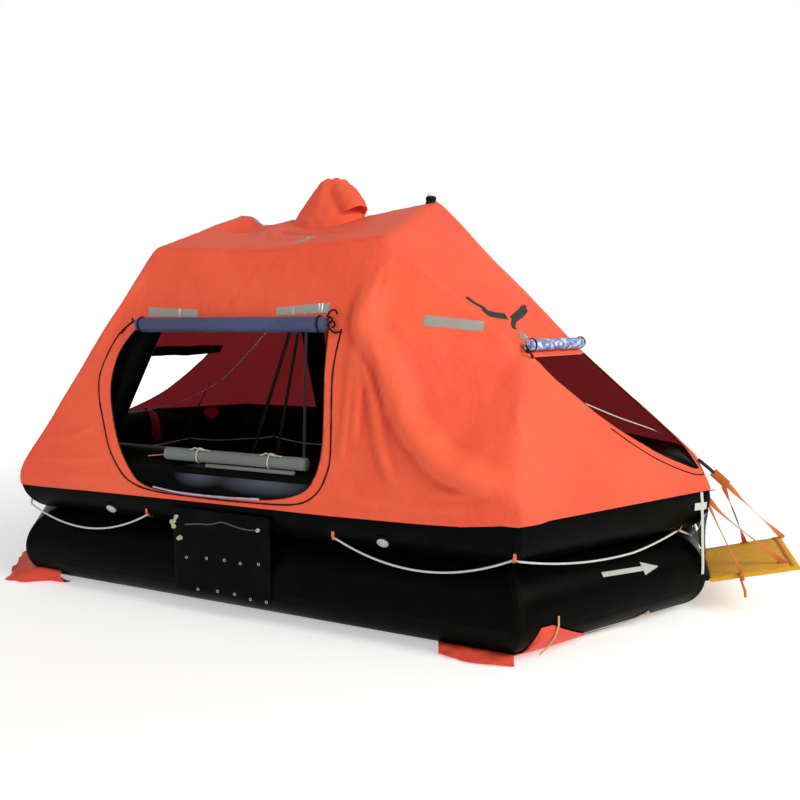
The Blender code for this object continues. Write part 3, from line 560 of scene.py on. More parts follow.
def relax(places, rounds):
    """Smooths the sheet by moving each point half way to the middle of its neighbours."""
    count = np.bincount(edges.ravel(), minlength=len(places))[:, None]
    for _ in range(rounds):
        total = np.empty_like(places)
        for axis in range(3):
            total[:, axis] = np.bincount(edges[:, 0], places[edges[:, 1], axis], len(places)) \
                + np.bincount(edges[:, 1], places[edges[:, 0], axis], len(places))
        places = places + (total / count - places) * 0.5
    return places


def nearest(places, route):
    """For each place the nearest point of a route, its direction there and its share of the length."""
    route = np.array([tuple(p) for p in route])
    gap = np.full(len(places), 1e9)
    point, heading, share = np.zeros_like(places), np.zeros_like(places), np.zeros(len(places))
    total = np.linalg.norm(np.diff(route, axis=0), axis=1).sum()
    done = 0.0
    for a, b in zip(route, route[1:]):
        step = b - a
        length = np.linalg.norm(step)
        t = np.clip((places - a) @ step / length ** 2, 0, 1)
        near = a + t[:, None] * step
        far = np.linalg.norm(places - near, axis=1)
        closer = far < gap
        gap[closer], point[closer] = far[closer], near[closer]
        heading[closer], share[closer] = step / length, (done + t[closer] * length) / total
        done += length
    return gap, point, heading, share


def hold_out(places):
    """Keeps the sheet outside the arches and the upper tube that it is stretched over."""
    for route in arch_routes.values():
        gap, near, _, _ = nearest(places, route)
        inside = gap < ARCH_R + 0.012
        away = (places[inside] - near[inside]) / gap[inside][:, None]
        places[inside] = near[inside] + away * (ARCH_R + 0.012)
    starts, outs = (np.array([tuple(side_of(i)[k]) for i in range(8)]) for k in (0, 2))
    reach = (places[:, None, :2] - starts[None]) @ outs.T
    reach = reach[:, np.arange(8), np.arange(8)]
    widest = reach.argmax(axis=1)
    offset = reach[np.arange(len(places)), widest]
    rise = places[:, 2] - UPPER_Z
    gap = np.hypot(offset, rise)
    inside = (gap < TUBE_R + 0.008) & (offset > 0)
    grow_by = (TUBE_R + 0.008) / gap[inside]
    places[inside, :2] += outs[widest[inside]] * (offset[inside] * (grow_by - 1))[:, None]
    places[inside, 2] = UPPER_Z + rise[inside] * grow_by
    return places


for _ in range(3):
    points = hold_out(relax(points, 2))


def spline(a, b, c, d, t):
    """Place between b and c on a smooth curve through four places."""
    return 0.5 * ((2 * b) + (c - a) * t + (2 * a - 5 * b + 4 * c - d) * t * t + (3 * b - a - 3 * c + d) * t ** 3)


def smooth_route(route, steps=6):
    """A route rounded through its points."""
    route = [Vector(p) for p in route]
    ends = [2 * route[0] - route[1]] + route + [2 * route[-1] - route[-2]]
    return [spline(a, b, c, d, k / steps) for a, b, c, d in zip(ends, ends[1:], ends[2:], ends[3:])
            for k in range(steps)] + [route[-1]]


# route of each fold, its width to the left and to the right going along it, its height
FOLD_RISE = 1.45
FOLDS = [
    ([(0.705, -0.945, 1.89), (0.668, -0.978, 1.75), (0.650, -1.018, 1.60), (0.703, -1.044, 1.50),
      (0.777, -1.063, 1.42), (0.857, -1.103, 1.27), (0.942, -1.146, 1.10), (1.028, -1.170, 1.01),
      (1.110, -1.189, 0.93), (1.287, -1.209, 0.86), (1.498, -1.212, 0.84)], 0.17, 0.066, 0.031),
    ([(0.607, -1.031, 1.547), (0.621, -1.09, 1.319), (0.621, -1.154, 1.07), (0.60, -1.20, 0.86)],
     0.040, 0.030, 0.010),
    ([(0.632, -1.035, 1.532), (0.671, -1.102, 1.27), (0.67, -1.178, 0.974)], 0.045, 0.028, 0.013),
    ([(0.658, -1.044, 1.496), (0.753, -1.114, 1.223), (0.821, -1.176, 0.984), (0.926, -1.229, 0.78)],
     0.055, 0.030, 0.014),
    ([(0.700, -1.03, 1.56), (0.80, -1.10, 1.30), (0.86, -1.15, 1.09)], 0.035, 0.022, 0.008),
    ([(0.74, -0.92, 1.93), (0.70, -0.96, 1.78), (0.66, -1.00, 1.66)], 0.030, 0.020, 0.008),
    ([(0.77, -0.90, 1.98), (0.76, -0.95, 1.82), (0.73, -1.00, 1.68)], 0.035, 0.020, 0.008),
    ([(0.80, -1.00, 1.69), (0.888, -1.04, 1.70), (0.985, -0.973, 1.688)], 0.035, 0.025, 0.008),
    ([(0.80, -1.04, 1.53), (0.95, -1.03, 1.47), (1.171, -0.98, 1.45), (1.30, -0.84, 1.447)],
     0.050, 0.030, 0.011),
    ([(1.44, -0.873, 1.27), (1.455, -0.95, 1.12), (1.487, -1.02, 0.98)], 0.040, 0.030, 0.007),
    ([(0.55, -1.24, 0.76), (0.80, -1.25, 0.72), (1.05, -1.25, 0.71), (1.30, -1.25, 0.73)],
     0.025, 0.035, 0.006),
    ([(1.05, -1.23, 0.79), (1.30, -1.22, 0.80), (1.55, -1.19, 0.80)], 0.030, 0.030, 0.007),
    ([(-1.45, -1.22, 0.80), (-1.15, -1.23, 0.79), (-0.85, -1.22, 0.83)], 0.035, 0.030, 0.008),
    ([(-1.40, -1.20, 0.90), (-1.20, -1.19, 0.92), (-0.98, -1.18, 1.00)], 0.040, 0.035, 0.008),
    ([(-1.42, -1.24, 0.71), (-1.10, -1.25, 0.70), (-0.80, -1.25, 0.72)], 0.025, 0.030, 0.006),
    ([(-0.80, -0.93, 1.93), (-0.95, -0.99, 1.68), (-1.10, -1.06, 1.38)], 0.045, 0.035, 0.008),
    ([(-0.423, -0.21, 2.26), (-0.38, -0.40, 2.19), (-0.329, -0.579, 2.129)], 0.045, 0.045, -0.010),
    ([(-0.249, -0.293, 2.239), (-0.16, -0.50, 2.17), (-0.068, -0.688, 2.103)], 0.035, 0.045, 0.012),
    ([(-0.26, -0.34, 2.22), (-0.02, -0.46, 2.19), (0.252, -0.52, 2.17), (0.467, -0.55, 2.17)],
     0.050, 0.045, -0.009),
    ([(-0.007, -0.917, 1.951), (-0.10, -0.95, 1.81), (-0.197, -0.991, 1.673)], 0.030, 0.030, -0.004),
    ([(1.30, -0.30, 1.86), (1.42, -0.42, 1.68), (1.48, -0.55, 1.54)], 0.040, 0.040, 0.006),
    ([(0.90, -0.30, 2.22), (1.12, -0.34, 1.99), (1.30, -0.40, 1.78)], 0.060, 0.060, -0.007),
    ([(-0.54, -0.50, 2.24), (-0.54, 0.0, 2.36), (-0.54, 0.50, 2.24)], 0.13, 0.26, -0.037),
]
normals = np.empty(len(cells.vertices) * 3)
cells.vertices.foreach_set("co", points.ravel())
cells.update()
cells.vertices.foreach_get("normal", normals)
normals = normals.reshape(-1, 3)
lift = np.zeros(len(points))
for turned in (1, -1):
    for route, left, right, height in FOLDS:
        if turned == -1 and route[0][2] > 2.1:
            continue
        route = [(turned * p.x, turned * p.y, p.z) for p in smooth_route(route)]
        gap, near, heading, share = nearest(points, route)
        close = gap < 0.25
        across = np.cross(normals[close], heading[close])
        offset = np.einsum("ij,ij->i", points[close] - near[close], across)
        width = np.where(offset > 0, left, right)
        fall = np.clip(1 - (gap[close] / width) ** 2, 0, 1) ** 2
        ends = np.clip(np.minimum(share[close], 1 - share[close]) / 0.18, 0, 1)
        lift[close] += FOLD_RISE * height * fall * ends * ends * (3 - 2 * ends)
waves = np.array([noise.noise(Vector(p) * 1.6) * 0.007
                  + noise.noise(Vector((p[0] * 5, p[1] * 5, p[2] * 2.6))) * 0.0042
                  + noise.noise(Vector((p[0] * 11, p[1] * 11, p[2] * 4 + 7))) * 0.0023 for p in points])
free = np.clip((points[:, 2] - 0.72) / 0.12, 0, 1)
points += normals * (lift + waves * free)[:, None]
points = hold_out(points)
cells.vertices.foreach_set("co", points.ravel())
cells.update()
# painted shade: how far each point lies below its neighbours, in the hollows of the folds, is kept as an attribute
# that darkens the cloth's colour there
depth = np.einsum("ij,ij->i", relax(points, 3) - points, normals)
depth = relax(np.repeat(depth[:, None], 3, axis=1), 3)[:, 0]
fold_shade_mark = cells.attributes.new("painted_fold_shade", "FLOAT", "POINT")
fold_shade_mark.data.foreach_set("value", np.clip(depth / 0.0030 - 0.15, 0, 1).astype(np.float32))
# painted highlight: how far each point is lifted by the folds is kept as an attribute that turns the cloth's colour
# paler on the raised folds
crease_mark = cells.attributes.new("crease", "FLOAT", "POINT")
crease_mark.data.foreach_set("value", np.clip(lift / 0.02, -1, 1).astype(np.float32))

work = bmesh.new()
work.from_mesh(cells)
bmesh.ops.bisect_plane(work, geom=work.verts[:] + work.edges[:] + work.faces[:], plane_co=(0, 0, HEM_Z),
                       plane_no=(0, 0, -1), clear_outer=True)
# height of the hem along each of four sides; the other four are the same, turned half round
HEM = [[(0.0, 0.628), (0.11, 0.628), (0.44, 0.635), (1.36, 0.645), (2.02, 0.648), (2.49, 0.658), (2.70, 0.667),
        (2.86, 0.687), (2.88, 0.692)],
       [(0.0, 0.696), (0.06, 0.704), (1.11, 0.712)], [(0.0, 0.716), (0.20, 0.724), (0.396, 0.712)],
       [(0.0, 0.704), (0.50, 0.645), (1.11, 0.628)]]
HEM_REACH = 0.20
sides = [side_of(i) for i in range(8)]
for vert in work.verts:
    if vert.co.z > HEM_Z + HEM_REACH:
        continue
    spot = Vector((vert.co.x, vert.co.y))
    offset, index = max(((spot - sides[i][0]).dot(sides[i][2]), i) for i in range(8))
    along = (spot - sides[index][0]).dot(sides[index][1])
    rise = float(np.interp(along, *zip(*HEM[index % 4]))) - HEM_Z
    far = offset ** 2 + (vert.co.z - UPPER_Z) ** 2
    vert.co.z += rise * (1 - (vert.co.z - HEM_Z) / HEM_REACH) ** 2
    moved = sides[index][2] * (sqrt(max(0.0, far - (vert.co.z - UPPER_Z) ** 2)) - offset)
    vert.co.x += moved.x
    vert.co.y += moved.y
skin = BVHTree.FromBMesh(work)
work.to_mesh(cells)
work.free()

FRONT_DOOR = [(-0.790, 1.590), (-0.900, 1.440), (-0.925, 1.220), (-0.830, 0.950), (-0.710, 0.790),
              (-0.580, 0.705), (-0.340, 0.680), (0.155, 0.690), (0.390, 0.735), (0.475, 0.820),
              (0.502, 0.985), (0.475, 1.335), (0.470, 1.590)]
END_DOOR = [(-0.640, 1.428), (-0.622, 1.311), (-0.538, 1.085), (-0.430, 0.935), (-0.330, 0.850),
            (-0.262, 0.822), (-0.100, 0.850), (0.050, 0.885), (0.100, 0.940), (0.100, 1.428)]


def closed_route(points2, sharp, steps=5):
    """A closed outline rounded through its points, but with a corner at those that are named sharp."""
    count = len(points2)
    out = []
    for i in range(count):
        if i in sharp:
            out.append(Vector(points2[i]))
            continue
        a, b, c, d = (Vector(points2[(i + k) % count]) for k in (-1, 0, 1, 2))
        a = b if (i - 1) % count in sharp else a
        d = c if (i + 1) % count in sharp else d
        out += [spline(a, b, c, d, k / steps) for k in range(steps)]
    return out


front_outline = closed_route(FRONT_DOOR, {len(FRONT_DOOR) - 1})
end_outline = closed_route(END_DOOR, {0, len(END_DOOR) - 2, len(END_DOOR) - 1})
cells.materials.clear()
for _ in range(2):
    cells.materials.append(tube_rubber)
form_thing.modifiers.clear()
form_thing.data = cells
for outline, spot, low, high in ((front_outline, lambda u, v, w: (u, w, v), -1.60, -0.60),
                                 (end_outline, lambda u, v, w: (w, u, v), 1.10, 2.80),
                                 (end_outline, lambda u, v, w: (w, -u, v), -2.80, -1.10)):
    work = bmesh.new()
    near = [work.verts.new(spot(p.x, p.y, low)) for p in outline]
    far = [work.verts.new(spot(p.x, p.y, high)) for p in outline]
    faces = [work.faces.new(near), work.faces.new(far)]
    for i in range(len(outline)):
        j = (i + 1) % len(outline)
        faces.append(work.faces.new((near[i], near[j], far[j], far[i])))
    for face in faces:
        face.material_index = 1
    bmesh.ops.recalc_face_normals(work, faces=work.faces[:])
    cutter_mesh = bpy.data.meshes.new("door_cut")
    work.to_mesh(cutter_mesh)
    work.free()
    for _ in range(2):
        cutter_mesh.materials.append(tube_rubber)
    cutter = bpy.data.objects.new("door_cut", cutter_mesh)
    bpy.context.scene.collection.objects.link(cutter)
    step = form_thing.modifiers.new("door", "BOOLEAN")
    step.operation = "DIFFERENCE"
    step.object = cutter
    step.solver = "EXACT"
    step.material_mode = "INDEX"
    opened = evaluated_mesh(form_thing)
    form_thing.modifiers.clear()
    form_thing.data = opened
    bpy.data.objects.remove(cutter, do_unlink=True)
work = bmesh.new()
work.from_mesh(form_thing.data)
bmesh.ops.delete(work, geom=[f for f in work.faces if f.material_index == 1], context="FACES")
bpy.data.objects.remove(form_thing, do_unlink=True)
flat_area = sum(f.calc_area() for f in work.faces)
canopy = finish_mesh("canopy_sheet", work)


def cloth_material(name, colour, faded_and_lit, roughness=0.55, crinkle=0.014):
    """Coated cloth in one colour; coated_cloth makes its fading, its painted shade in the hollows of folds, its
    painted highlight on raised folds, and its crinkles.
    """
    material = coated(name, cloth_group, {"Cloth": (*colour, 1), "Faded and lit": (*faded_and_lit, 1), "Gloss": roughness},
                      crinkle, 0.7, 0.15)
    material.node_tree.nodes["Principled BSDF"].inputs["Sheen Weight"].default_value = 0.02
    return material


# coated_cloth: random fading, painted shade in the hollows of folds, a painted highlight on raised folds, fine specks
# and crinkle bumps
cloth_group, given, out = new_group(
    "coated_cloth",
    [("Cloth", "NodeSocketColor", (0.7, 0.1, 0.05, 1)), ("Faded and lit", "NodeSocketColor", (0.8, 0.2, 0.1, 1)),
     ("Gloss", "NodeSocketFloat", 0.55)],
    [("Color", "NodeSocketColor"), ("Roughness", "NodeSocketFloat"), ("Height", "NodeSocketFloat")])
place = add_node(cloth_group, "ShaderNodeTexCoord").outputs["Object"]
broad = noise_of(cloth_group, place, 1.3, 4.0, Roughness=0.55)
crinkles = noise_of(cloth_group, place, 9.0, 4.0, Roughness=0.55, Distortion=0.6)
specks = noise_of(cloth_group, place, 95.0, 2.0)
crease, painted_fold_shade = (add_node(cloth_group, "ShaderNodeAttribute", attribute_name=name).outputs["Fac"]
                  for name in ("crease", "painted_fold_shade"))
fade = map_range(cloth_group, broad, (0.35, 0.72), (0.0, 0.55))
# random fading, plus a painted highlight that turns raised folds paler
fade_and_ridge_light = math_of(cloth_group, "MULTIPLY_ADD", crease, 0.35, fade, clamp=True)
tint = mix_of(cloth_group, fade_and_ridge_light, given.outputs["Cloth"], given.outputs["Faded and lit"])
# painted shade: the cloth is darkened towards a deep red in the hollows of its folds
fold_shade_tint = mix_of(cloth_group, painted_fold_shade, (1.0, 1.0, 1.0, 1), (0.70, 0.42, 0.50, 1))
shaded = mix_of(cloth_group, 1.0, tint, fold_shade_tint, "MULTIPLY")
fine = mix_of(cloth_group, 1.0, shaded, map_range(cloth_group, specks, new=(0.93, 1.07)), "MULTIPLY")
rough = math_of(cloth_group, "MULTIPLY", map_range(cloth_group, broad, new=(0.9, 1.1)), given.outputs["Gloss"])
for source, socket in ((fine, "Color"), (rough, "Roughness"), (crinkles, "Height")):
    cloth_group.links.new(source, out.inputs[socket])

canopy_cloth = cloth_material("canopy_cloth", (0.735, 0.078, 0.036), (0.86, 0.140, 0.058))
lining_cloth = cloth_material("canopy_lining", (0.17, 0.012, 0.016), (0.22, 0.022, 0.026), 0.60, 0.008)
# painted light: the lining glows, an emission that stands in for daylight shining through the cloth
painted_glow = lining_cloth.node_tree.nodes["Principled BSDF"]      # daylight that shines through the cloth
painted_glow.inputs["Emission Color"].default_value = (0.120, 0.009, 0.011, 1)
painted_glow.inputs["Emission Strength"].default_value = 0.9
edge_binding = rubber("edge_binding", (0.012, 0.011, 0.012), (0.05, 0.05, 0.05), 0.2, 0.45, 0.60, 0.002)
canopy.data.materials.clear()
for material in (canopy_cloth, lining_cloth, edge_binding):
    canopy.data.materials.append(material)
for face in canopy.data.polygons:
    face.material_index = 0
wall = canopy.modifiers.new("lining", "SOLIDIFY")
wall.thickness = 0.005
wall.offset = -1.0
wall.material_offset = 1
wall.material_offset_rim = 2
lined = evaluated_mesh(canopy)
canopy.modifiers.clear()
canopy.data = lined
dress(canopy, "canopy_cloth", "canopy_front", "canopy_back", "canopy_roof", "canopy_end_left",
      "canopy_end_right")

# Seams, bindings and piping: a doubled strip along the eaves, a black zip line that runs a
# hand's breadth outside each opening, and a lavender lip of lining at the front sill.
def on_skin(place, toward, back=0.45):
    """Where a line through a place meets the canopy, and the cloth's normal there."""
    toward = Vector(toward).normalized()
    spot, normal, _, _ = skin.ray_cast(Vector(place) - toward * back, toward, 2 * back + 0.4)
    if spot is None:
        spot, normal, _, _ = skin.find_nearest(Vector(place))
    return spot, (normal if normal.dot(toward) < 0 else -normal)


def ribbon(work, route, width, thick, lift=0.0, ragged=0.0):
    """A flat strip along (place, normal) pairs; its two ends are closed."""
    rings = []
    count = len(route)
    for i, (place, normal) in enumerate(route):
        along = (route[min(i + 1, count - 1)][0] - route[max(i - 1, 0)][0]).normalized()
        side = along.cross(normal).normalized()
        away = side.cross(along).normalized()
        half = width / 2 * (1 + ragged * noise.noise(place * 31))
        edge = min(half * 0.25, 0.004)
        rings.append([work.verts.new(place + side * s + away * (lift + h)) for s, h in (
            (-half, 0.0), (-half, thick * 0.6), (-half + edge, thick), (half - edge, thick),
            (half, thick * 0.6), (half, 0.0))])
    skin_over(work, rings)


def dense(route, step):
    """A route with a point at least every step metres."""
    route = [Vector(p) for p in route]
    out = []
    for a, b in zip(route, route[1:]):
        pieces = max(1, ceil((b - a).length / step))
        out += [a.lerp(b, k / pieces) for k in range(pieces)]
    return out + [route[-1]]


def facing(places, normal, step=0.02):
    """A ribbon's route along places, with its flat side facing one way."""
    return [(q, Vector(normal)) for q in dense(places, step)]


def turned_round(places):
    """The same places on the raft turned half round."""
    return [(-x, -y, z) for x, y, z in places]


EAVE = [(-0.735, -0.890, 2.06), (-0.40, -0.900, 2.03), (0.0, -0.903, 2.015), (0.40, -0.900, 2.03),
        (0.735, -0.890, 2.06)]
work = bmesh.new()
for places, toward in ((EAVE, (0, 0.75, -0.66)), (turned_round(EAVE), (0, -0.75, -0.66))):
    ribbon(work, [on_skin(p, toward) for p in dense(smooth_route(places), 0.03)], 0.011, 0.0018, -0.0002)
dress(finish_mesh("eave_seams", work, canopy_cloth), "canopy_cloth")

ZIP_FRONT = [(-0.827, 1.628), (-0.921, 1.548), (-0.985, 1.430), (-1.022, 1.300), (-1.005, 1.180),
             (-0.955, 1.050), (-0.870, 0.880), (-0.745, 0.750), (-0.640, 0.700), (-0.520, 0.678),
             (-0.340, 0.670), (-0.090, 0.668), (0.150, 0.672), (0.330, 0.680), (0.440, 0.705),
             (0.512, 0.765), (0.546, 0.850), (0.556, 0.928), (0.540, 1.115), (0.522, 1.320), (0.528, 1.450),
             (0.548, 1.578)]
ZIP_END = [(-0.560, 1.060), (-0.484, 0.930), (-0.372, 0.826), (-0.270, 0.790), (-0.100, 0.815), (0.060, 0.848),
           (0.138, 0.920), (0.140, 1.150)]
work = bmesh.new()
places = dense(smooth_route([(x, -1.10, z) for x, z in ZIP_FRONT]), 0.02)
ribbon(work, [on_skin(p, (0, 1, 0)) for p in places], 0.009, 0.0025, 0.0, 0.35)
for side in (1, -1):
    places = dense(smooth_route([(side * 2.0, side * y, z) for y, z in ZIP_END]), 0.02)
    ribbon(work, [on_skin(p, (-side, 0, 0), 0.8) for p in places], 0.007, 0.0025, 0.0, 0.3)
dress(finish_mesh("zip_lines", work, edge_binding), "canopy_cloth")

lavender = cloth_material("lavender_lining", (0.36, 0.30, 0.44), (0.50, 0.44, 0.56), 0.50, 0.006)
work = bmesh.new()
places = dense(smooth_route([(-0.52, -1.10, 0.700), (-0.34, -1.10, 0.684), (-0.08, -1.10, 0.683),
                             (0.17, -1.10, 0.693)]), 0.02)
ribbon(work, [on_skin(p, (0, 1, 0)) for p in places], 0.010, 0.005, -0.001, 0.4)
dress(finish_mesh("sill_lip", work, lavender), "canopy_cloth")
work = bmesh.new()
for outline, spot, toward, back in (
        (front_outline, lambda u, v: (u, -1.10, v), (0, 1, 0), 0.45),
        (end_outline, lambda u, v: (2.0, u, v), (-1, 0, 0), 0.8),
        (end_outline, lambda u, v: (-2.0, -u, v), (1, 0, 0), 0.8)):
    closed = [Vector((p.x, p.y)) for p in outline] + [Vector((outline[0].x, outline[0].y))]
    places = [Vector(spot(p.x, p.y)) for p in closed]
    found = [on_skin(p, toward, back) for p in dense(places, 0.02)]
    rail = [spot_ - normal * 0.0025 for spot_, normal in found][:-1]
    sweep(work, rail, 0.0042, 6, closed=True)
dress(finish_mesh("door_piping", work, edge_binding), "canopy_cloth")

# The rolled door curtains: the blue inner face of each door cloth shows where it is rolled
# up above its opening and tied at both ends with black cord.
WALL_Z = 1.590
ROLL_R, FRONT_R, FRONT_OUT = 0.0335, 0.0440, 0.0500
ROLL_OUT = 0.0413
roll_blue = cloth_material("roll_blue", (0.042, 0.049, 0.118), (0.085, 0.098, 0.200), 0.42, 0.022)
roll_pale = cloth_material("roll_pale", (0.100, 0.130, 0.330), (0.200, 0.240, 0.480), 0.42, 0.016)
tree = roll_pale.node_tree                # its coating has cracked to white here and there
place = add_node(tree, "ShaderNodeTexCoord").outputs["Object"]
white = map_range(tree, noise_of(tree, place, 30.0, 3.0, Distortion=1.2), (0.50, 0.62))
colour = tree.nodes["Principled BSDF"].inputs["Base Color"]
mottled = mix_of(tree, white, colour.links[0].from_socket, (0.66, 0.68, 0.78, 1))
tree.links.new(mottled, colour)
wall_out = Vector((0, -0.96649, 0.25673))
front_roll = Vector((0, -SHOULDER_Y - FRONT_SLOPE * (SHOULDER_Z - WALL_Z), WALL_Z)) + wall_out * FRONT_OUT


def facet_normal(one, two, three):
    one, two, three = Vector(one), Vector(two), Vector(three)
    normal = (two - one).cross(three - one).normalized()
    return normal if normal.z > 0 else -normal


side_normal = facet_normal(end_corner, ridge_side, door_corner)
end_normal = facet_normal(end_corner, end, ridge_mid)
ridge_normal = (side_normal + end_normal).normalized()
END_OUT = ROLL_OUT + 0.0014
end_roll = [Vector(door_corner) + side_normal * END_OUT,
            Vector(door_corner).lerp(Vector(ridge_side), 0.5) + side_normal * END_OUT,
            Vector(ridge_side) + ridge_normal * END_OUT / ridge_normal.dot(end_normal),
            Vector((ridge_mid[0], 0.060, ridge_mid[2])) + end_normal * END_OUT]
ROLLS = {"roll_front": [Vector((-0.755, front_roll.y, front_roll.z)), Vector((0.475, front_roll.y, front_roll.z))],
         "roll_end_right": end_roll, "roll_end_left": [Vector((-p.x, -p.y, p.z)) for p in end_roll]}
for name, route in ROLLS.items():
    route = dense(route, 0.012)
    span = sum((b - a).length for a, b in zip(route, route[1:]))
    seed = len(name) * 3.7
    full = FRONT_R if name == "roll_front" else ROLL_R

    def rolled(share, turn):
        """Radius of the roll: tight ends, a free edge that steps down, and twisted wrinkles."""
        along = share * span
        end_gap = min(along, span - along)
        wrap = (turn / (2 * pi) + 0.30) % 1.0
        size = full * (0.90 + 0.08 * wrap)
        size *= 1 - 0.22 * max(0.0, 1 - end_gap / 0.030) ** 2
        size += 0.0034 * noise.noise(Vector((along * 9 + seed, cos(turn) * 0.9 + along * 2, sin(turn) * 0.9)))
        size += 0.0026 * noise.noise(Vector((along * 30 + turn * 1.9, seed, cos(turn))))
        return size

    work = bmesh.new()
    sweep(work, route, rolled, 30)
    dress(finish_mesh(f"{name}_cloth", work, roll_blue if name == "roll_front" else roll_pale), "curtain_lining", name)

cord_black = rubber("tie_cord", (0.010, 0.009, 0.009), (0.04, 0.04, 0.04), 0.2, 0.6, 0.75, 0.001)


def coil(centre, axis, radius, turns, lean=0.3, points_a_turn=12):
    """A few loose turns of cord round an axis."""
    axis = Vector(axis).normalized()
    one = axis.orthogonal().normalized()
    two = axis.cross(one)
    route = []
    for k in range(int(turns * points_a_turn) + 1):
        turn = 2 * pi * k / points_a_turn
        size = radius * (1 + 0.05 * sin(turn * 2.3))
        route.append(Vector(centre) + one * size * cos(turn) + two * size * sin(turn)
                     + axis * (0.006 * turn / (2 * pi) + lean * 0.004 * sin(turn)))
    return route


work = bmesh.new()
for name, route in ROLLS.items():
    for at, toward in ((route[0], route[1] - route[0]), (route[-1], route[-2] - route[-1])):
        way = Vector(toward).normalized()
        sweep(work, coil(Vector(at) + way * 0.030, way, (FRONT_R if name == "roll_front" else ROLL_R) + 0.001, 1.6),
              0.0028, 6)
BOW = [[(0.484, -1.058, 1.628), (0.492, -1.056, 1.640), (0.503, -1.048, 1.634), (0.500, -1.050, 1.616),
        (0.486, -1.055, 1.608)],
       [(0.488, -1.055, 1.612), (0.502, -1.047, 1.620), (0.514, -1.042, 1.608), (0.514, -1.045, 1.592),
        (0.500, -1.050, 1.588)],
       [(0.486, -1.056, 1.606), (0.496, -1.060, 1.580), (0.520, -1.055, 1.560), (0.548, -1.044, 1.566)],
       [(0.480, -1.060, 1.640), (0.492, -1.048, 1.668), (0.512, -1.030, 1.676), (0.524, -1.030, 1.655)],
       [(-0.806, -1.050, 1.640), (-0.830, -1.020, 1.618), (-0.872, -1.030, 1.590), (-0.905, -1.045, 1.552)]]
for places in BOW:
    sweep(work, smooth_route(places), 0.0052, 7)
for x, y in ((1.440, -0.668), (-1.440, 0.668)):
    sweep(work, smooth_route([(x, y, 1.495), (x * 1.014, y * 1.03, 1.470), (x * 1.028, y * 0.985, 1.430),
                              (x * 1.010, y * 0.965, 1.445), (x * 1.004, y, 1.470)]), 0.0050, 7)
dress(finish_mesh("roll_ties", work, cord_black), "curtain_lining")

# The lookout hood: a cloth turret sewn to the roof, with a sleeve that is drawn together
# at its mouth and droops to the right.
HOOD_RINGS = [(-0.020, -0.010, 2.200, 0.300, 0.230), (-0.018, -0.010, 2.290, 0.274, 0.208),
              (-0.012, -0.010, 2.380, 0.220, 0.168), (0.000, -0.010, 2.450, 0.165, 0.138),
              (0.010, -0.010, 2.510, 0.124, 0.112), (0.018, -0.010, 2.556, 0.098, 0.094),
              (0.024, -0.010, 2.582, 0.070, 0.066)]
SLEEVE = [(0.030, -0.020, 2.468, 0.098), (0.095, -0.045, 2.455, 0.102), (0.145, -0.065, 2.415, 0.101),
          (0.178, -0.078, 2.370, 0.097), (0.200, -0.085, 2.330, 0.0935)]
hood_orange = cloth_material("hood_cloth", (0.76, 0.086, 0.036), (0.86, 0.150, 0.072), 0.52, 0.012)
work = bmesh.new()
skin_over(work, [[work.verts.new((x + a * cos(2 * pi * k / 32), y + b * sin(2 * pi * k / 32), z))
                  for k in range(32)] for x, y, z, a, b in HOOD_RINGS])
sleeve_route = [Vector(p[:3]) for p in SLEEVE]
sleeve_sizes = [p[3] for p in SLEEVE]


def sleeve_radius(share, turn):
    at = share * (len(sleeve_sizes) - 1)
    low = min(int(at), len(sleeve_sizes) - 2)
    return sleeve_sizes[low] + (sleeve_sizes[low + 1] - sleeve_sizes[low]) * (at - low)


sweep(work, sleeve_route, sleeve_radius, 28)
bmesh.ops.recalc_face_normals(work, faces=work.faces[:])
hood_mesh = bpy.data.meshes.new("hood_form")
work.to_mesh(hood_mesh)
work.free()
hood_thing = bpy.data.objects.new("hood_form", hood_mesh)
bpy.context.scene.collection.objects.link(hood_thing)
remesh = hood_thing.modifiers.new("even_cells", "REMESH")
remesh.mode = "VOXEL"
remesh.voxel_size = 0.008
hood_cells = evaluated_mesh(hood_thing)
bpy.data.objects.remove(hood_thing, do_unlink=True)
work = bmesh.new()
work.from_mesh(hood_cells)
for _ in range(4):
    bmesh.ops.smooth_vert(work, verts=work.verts[:], factor=0.5, use_axis_x=True, use_axis_y=True, use_axis_z=True)
work.normal_update()
mouth = sleeve_route[-1]
mouth_way = (mouth - sleeve_route[-2]).normalized()
sleeve_way = (mouth - sleeve_route[0]).normalized()
moves = []
for vert in work.verts:
    spot = vert.co - mouth
    depth, out_by = spot.dot(mouth_way), (spot - mouth_way * spot.dot(mouth_way)).length
    if depth > -0.020 and out_by < 0.088 and vert.normal.dot(mouth_way) > 0.5:
        moves.append((vert, mouth_way * -0.060 * (1 - (out_by / 0.088) ** 4)))       # the open mouth
        continue
    on_sleeve = min(1.0, max(0.0, ((vert.co - sleeve_route[0]).dot(sleeve_way) - 0.075) / 0.05))
    turret_turn = np.arctan2(vert.co.y, vert.co.x)
    pleats = 0.006 * sin(turret_turn * 7 + 1.2) * min(1.0, max(0.0, (vert.co.z - 2.30) / 0.2)) * (1 - on_sleeve)
    tucks = 0.005 * on_sleeve * noise.noise(Vector((vert.co.x * 9, vert.co.y * 26, vert.co.z * 12)))
    broad = 0.007 * noise.noise(vert.co * 7) + 0.0035 * noise.noise(vert.co * 19)
    moves.append((vert, vert.normal * (tucks + pleats + broad)))
for vert, move in moves:
    vert.co += move
low_verts = set()
for vert in work.verts:
    spot, _, _, _ = skin.ray_cast(Vector((vert.co.x, vert.co.y, 3.0)), Vector((0, 0, -1)), 2.0)
    if spot is not None and vert.co.z < spot.z - 0.004:
        vert.co.z = spot.z - 0.004
        low_verts.add(vert)
bmesh.ops.delete(work, geom=[f for f in work.faces if all(v in low_verts for v in f.verts)], context="FACES")
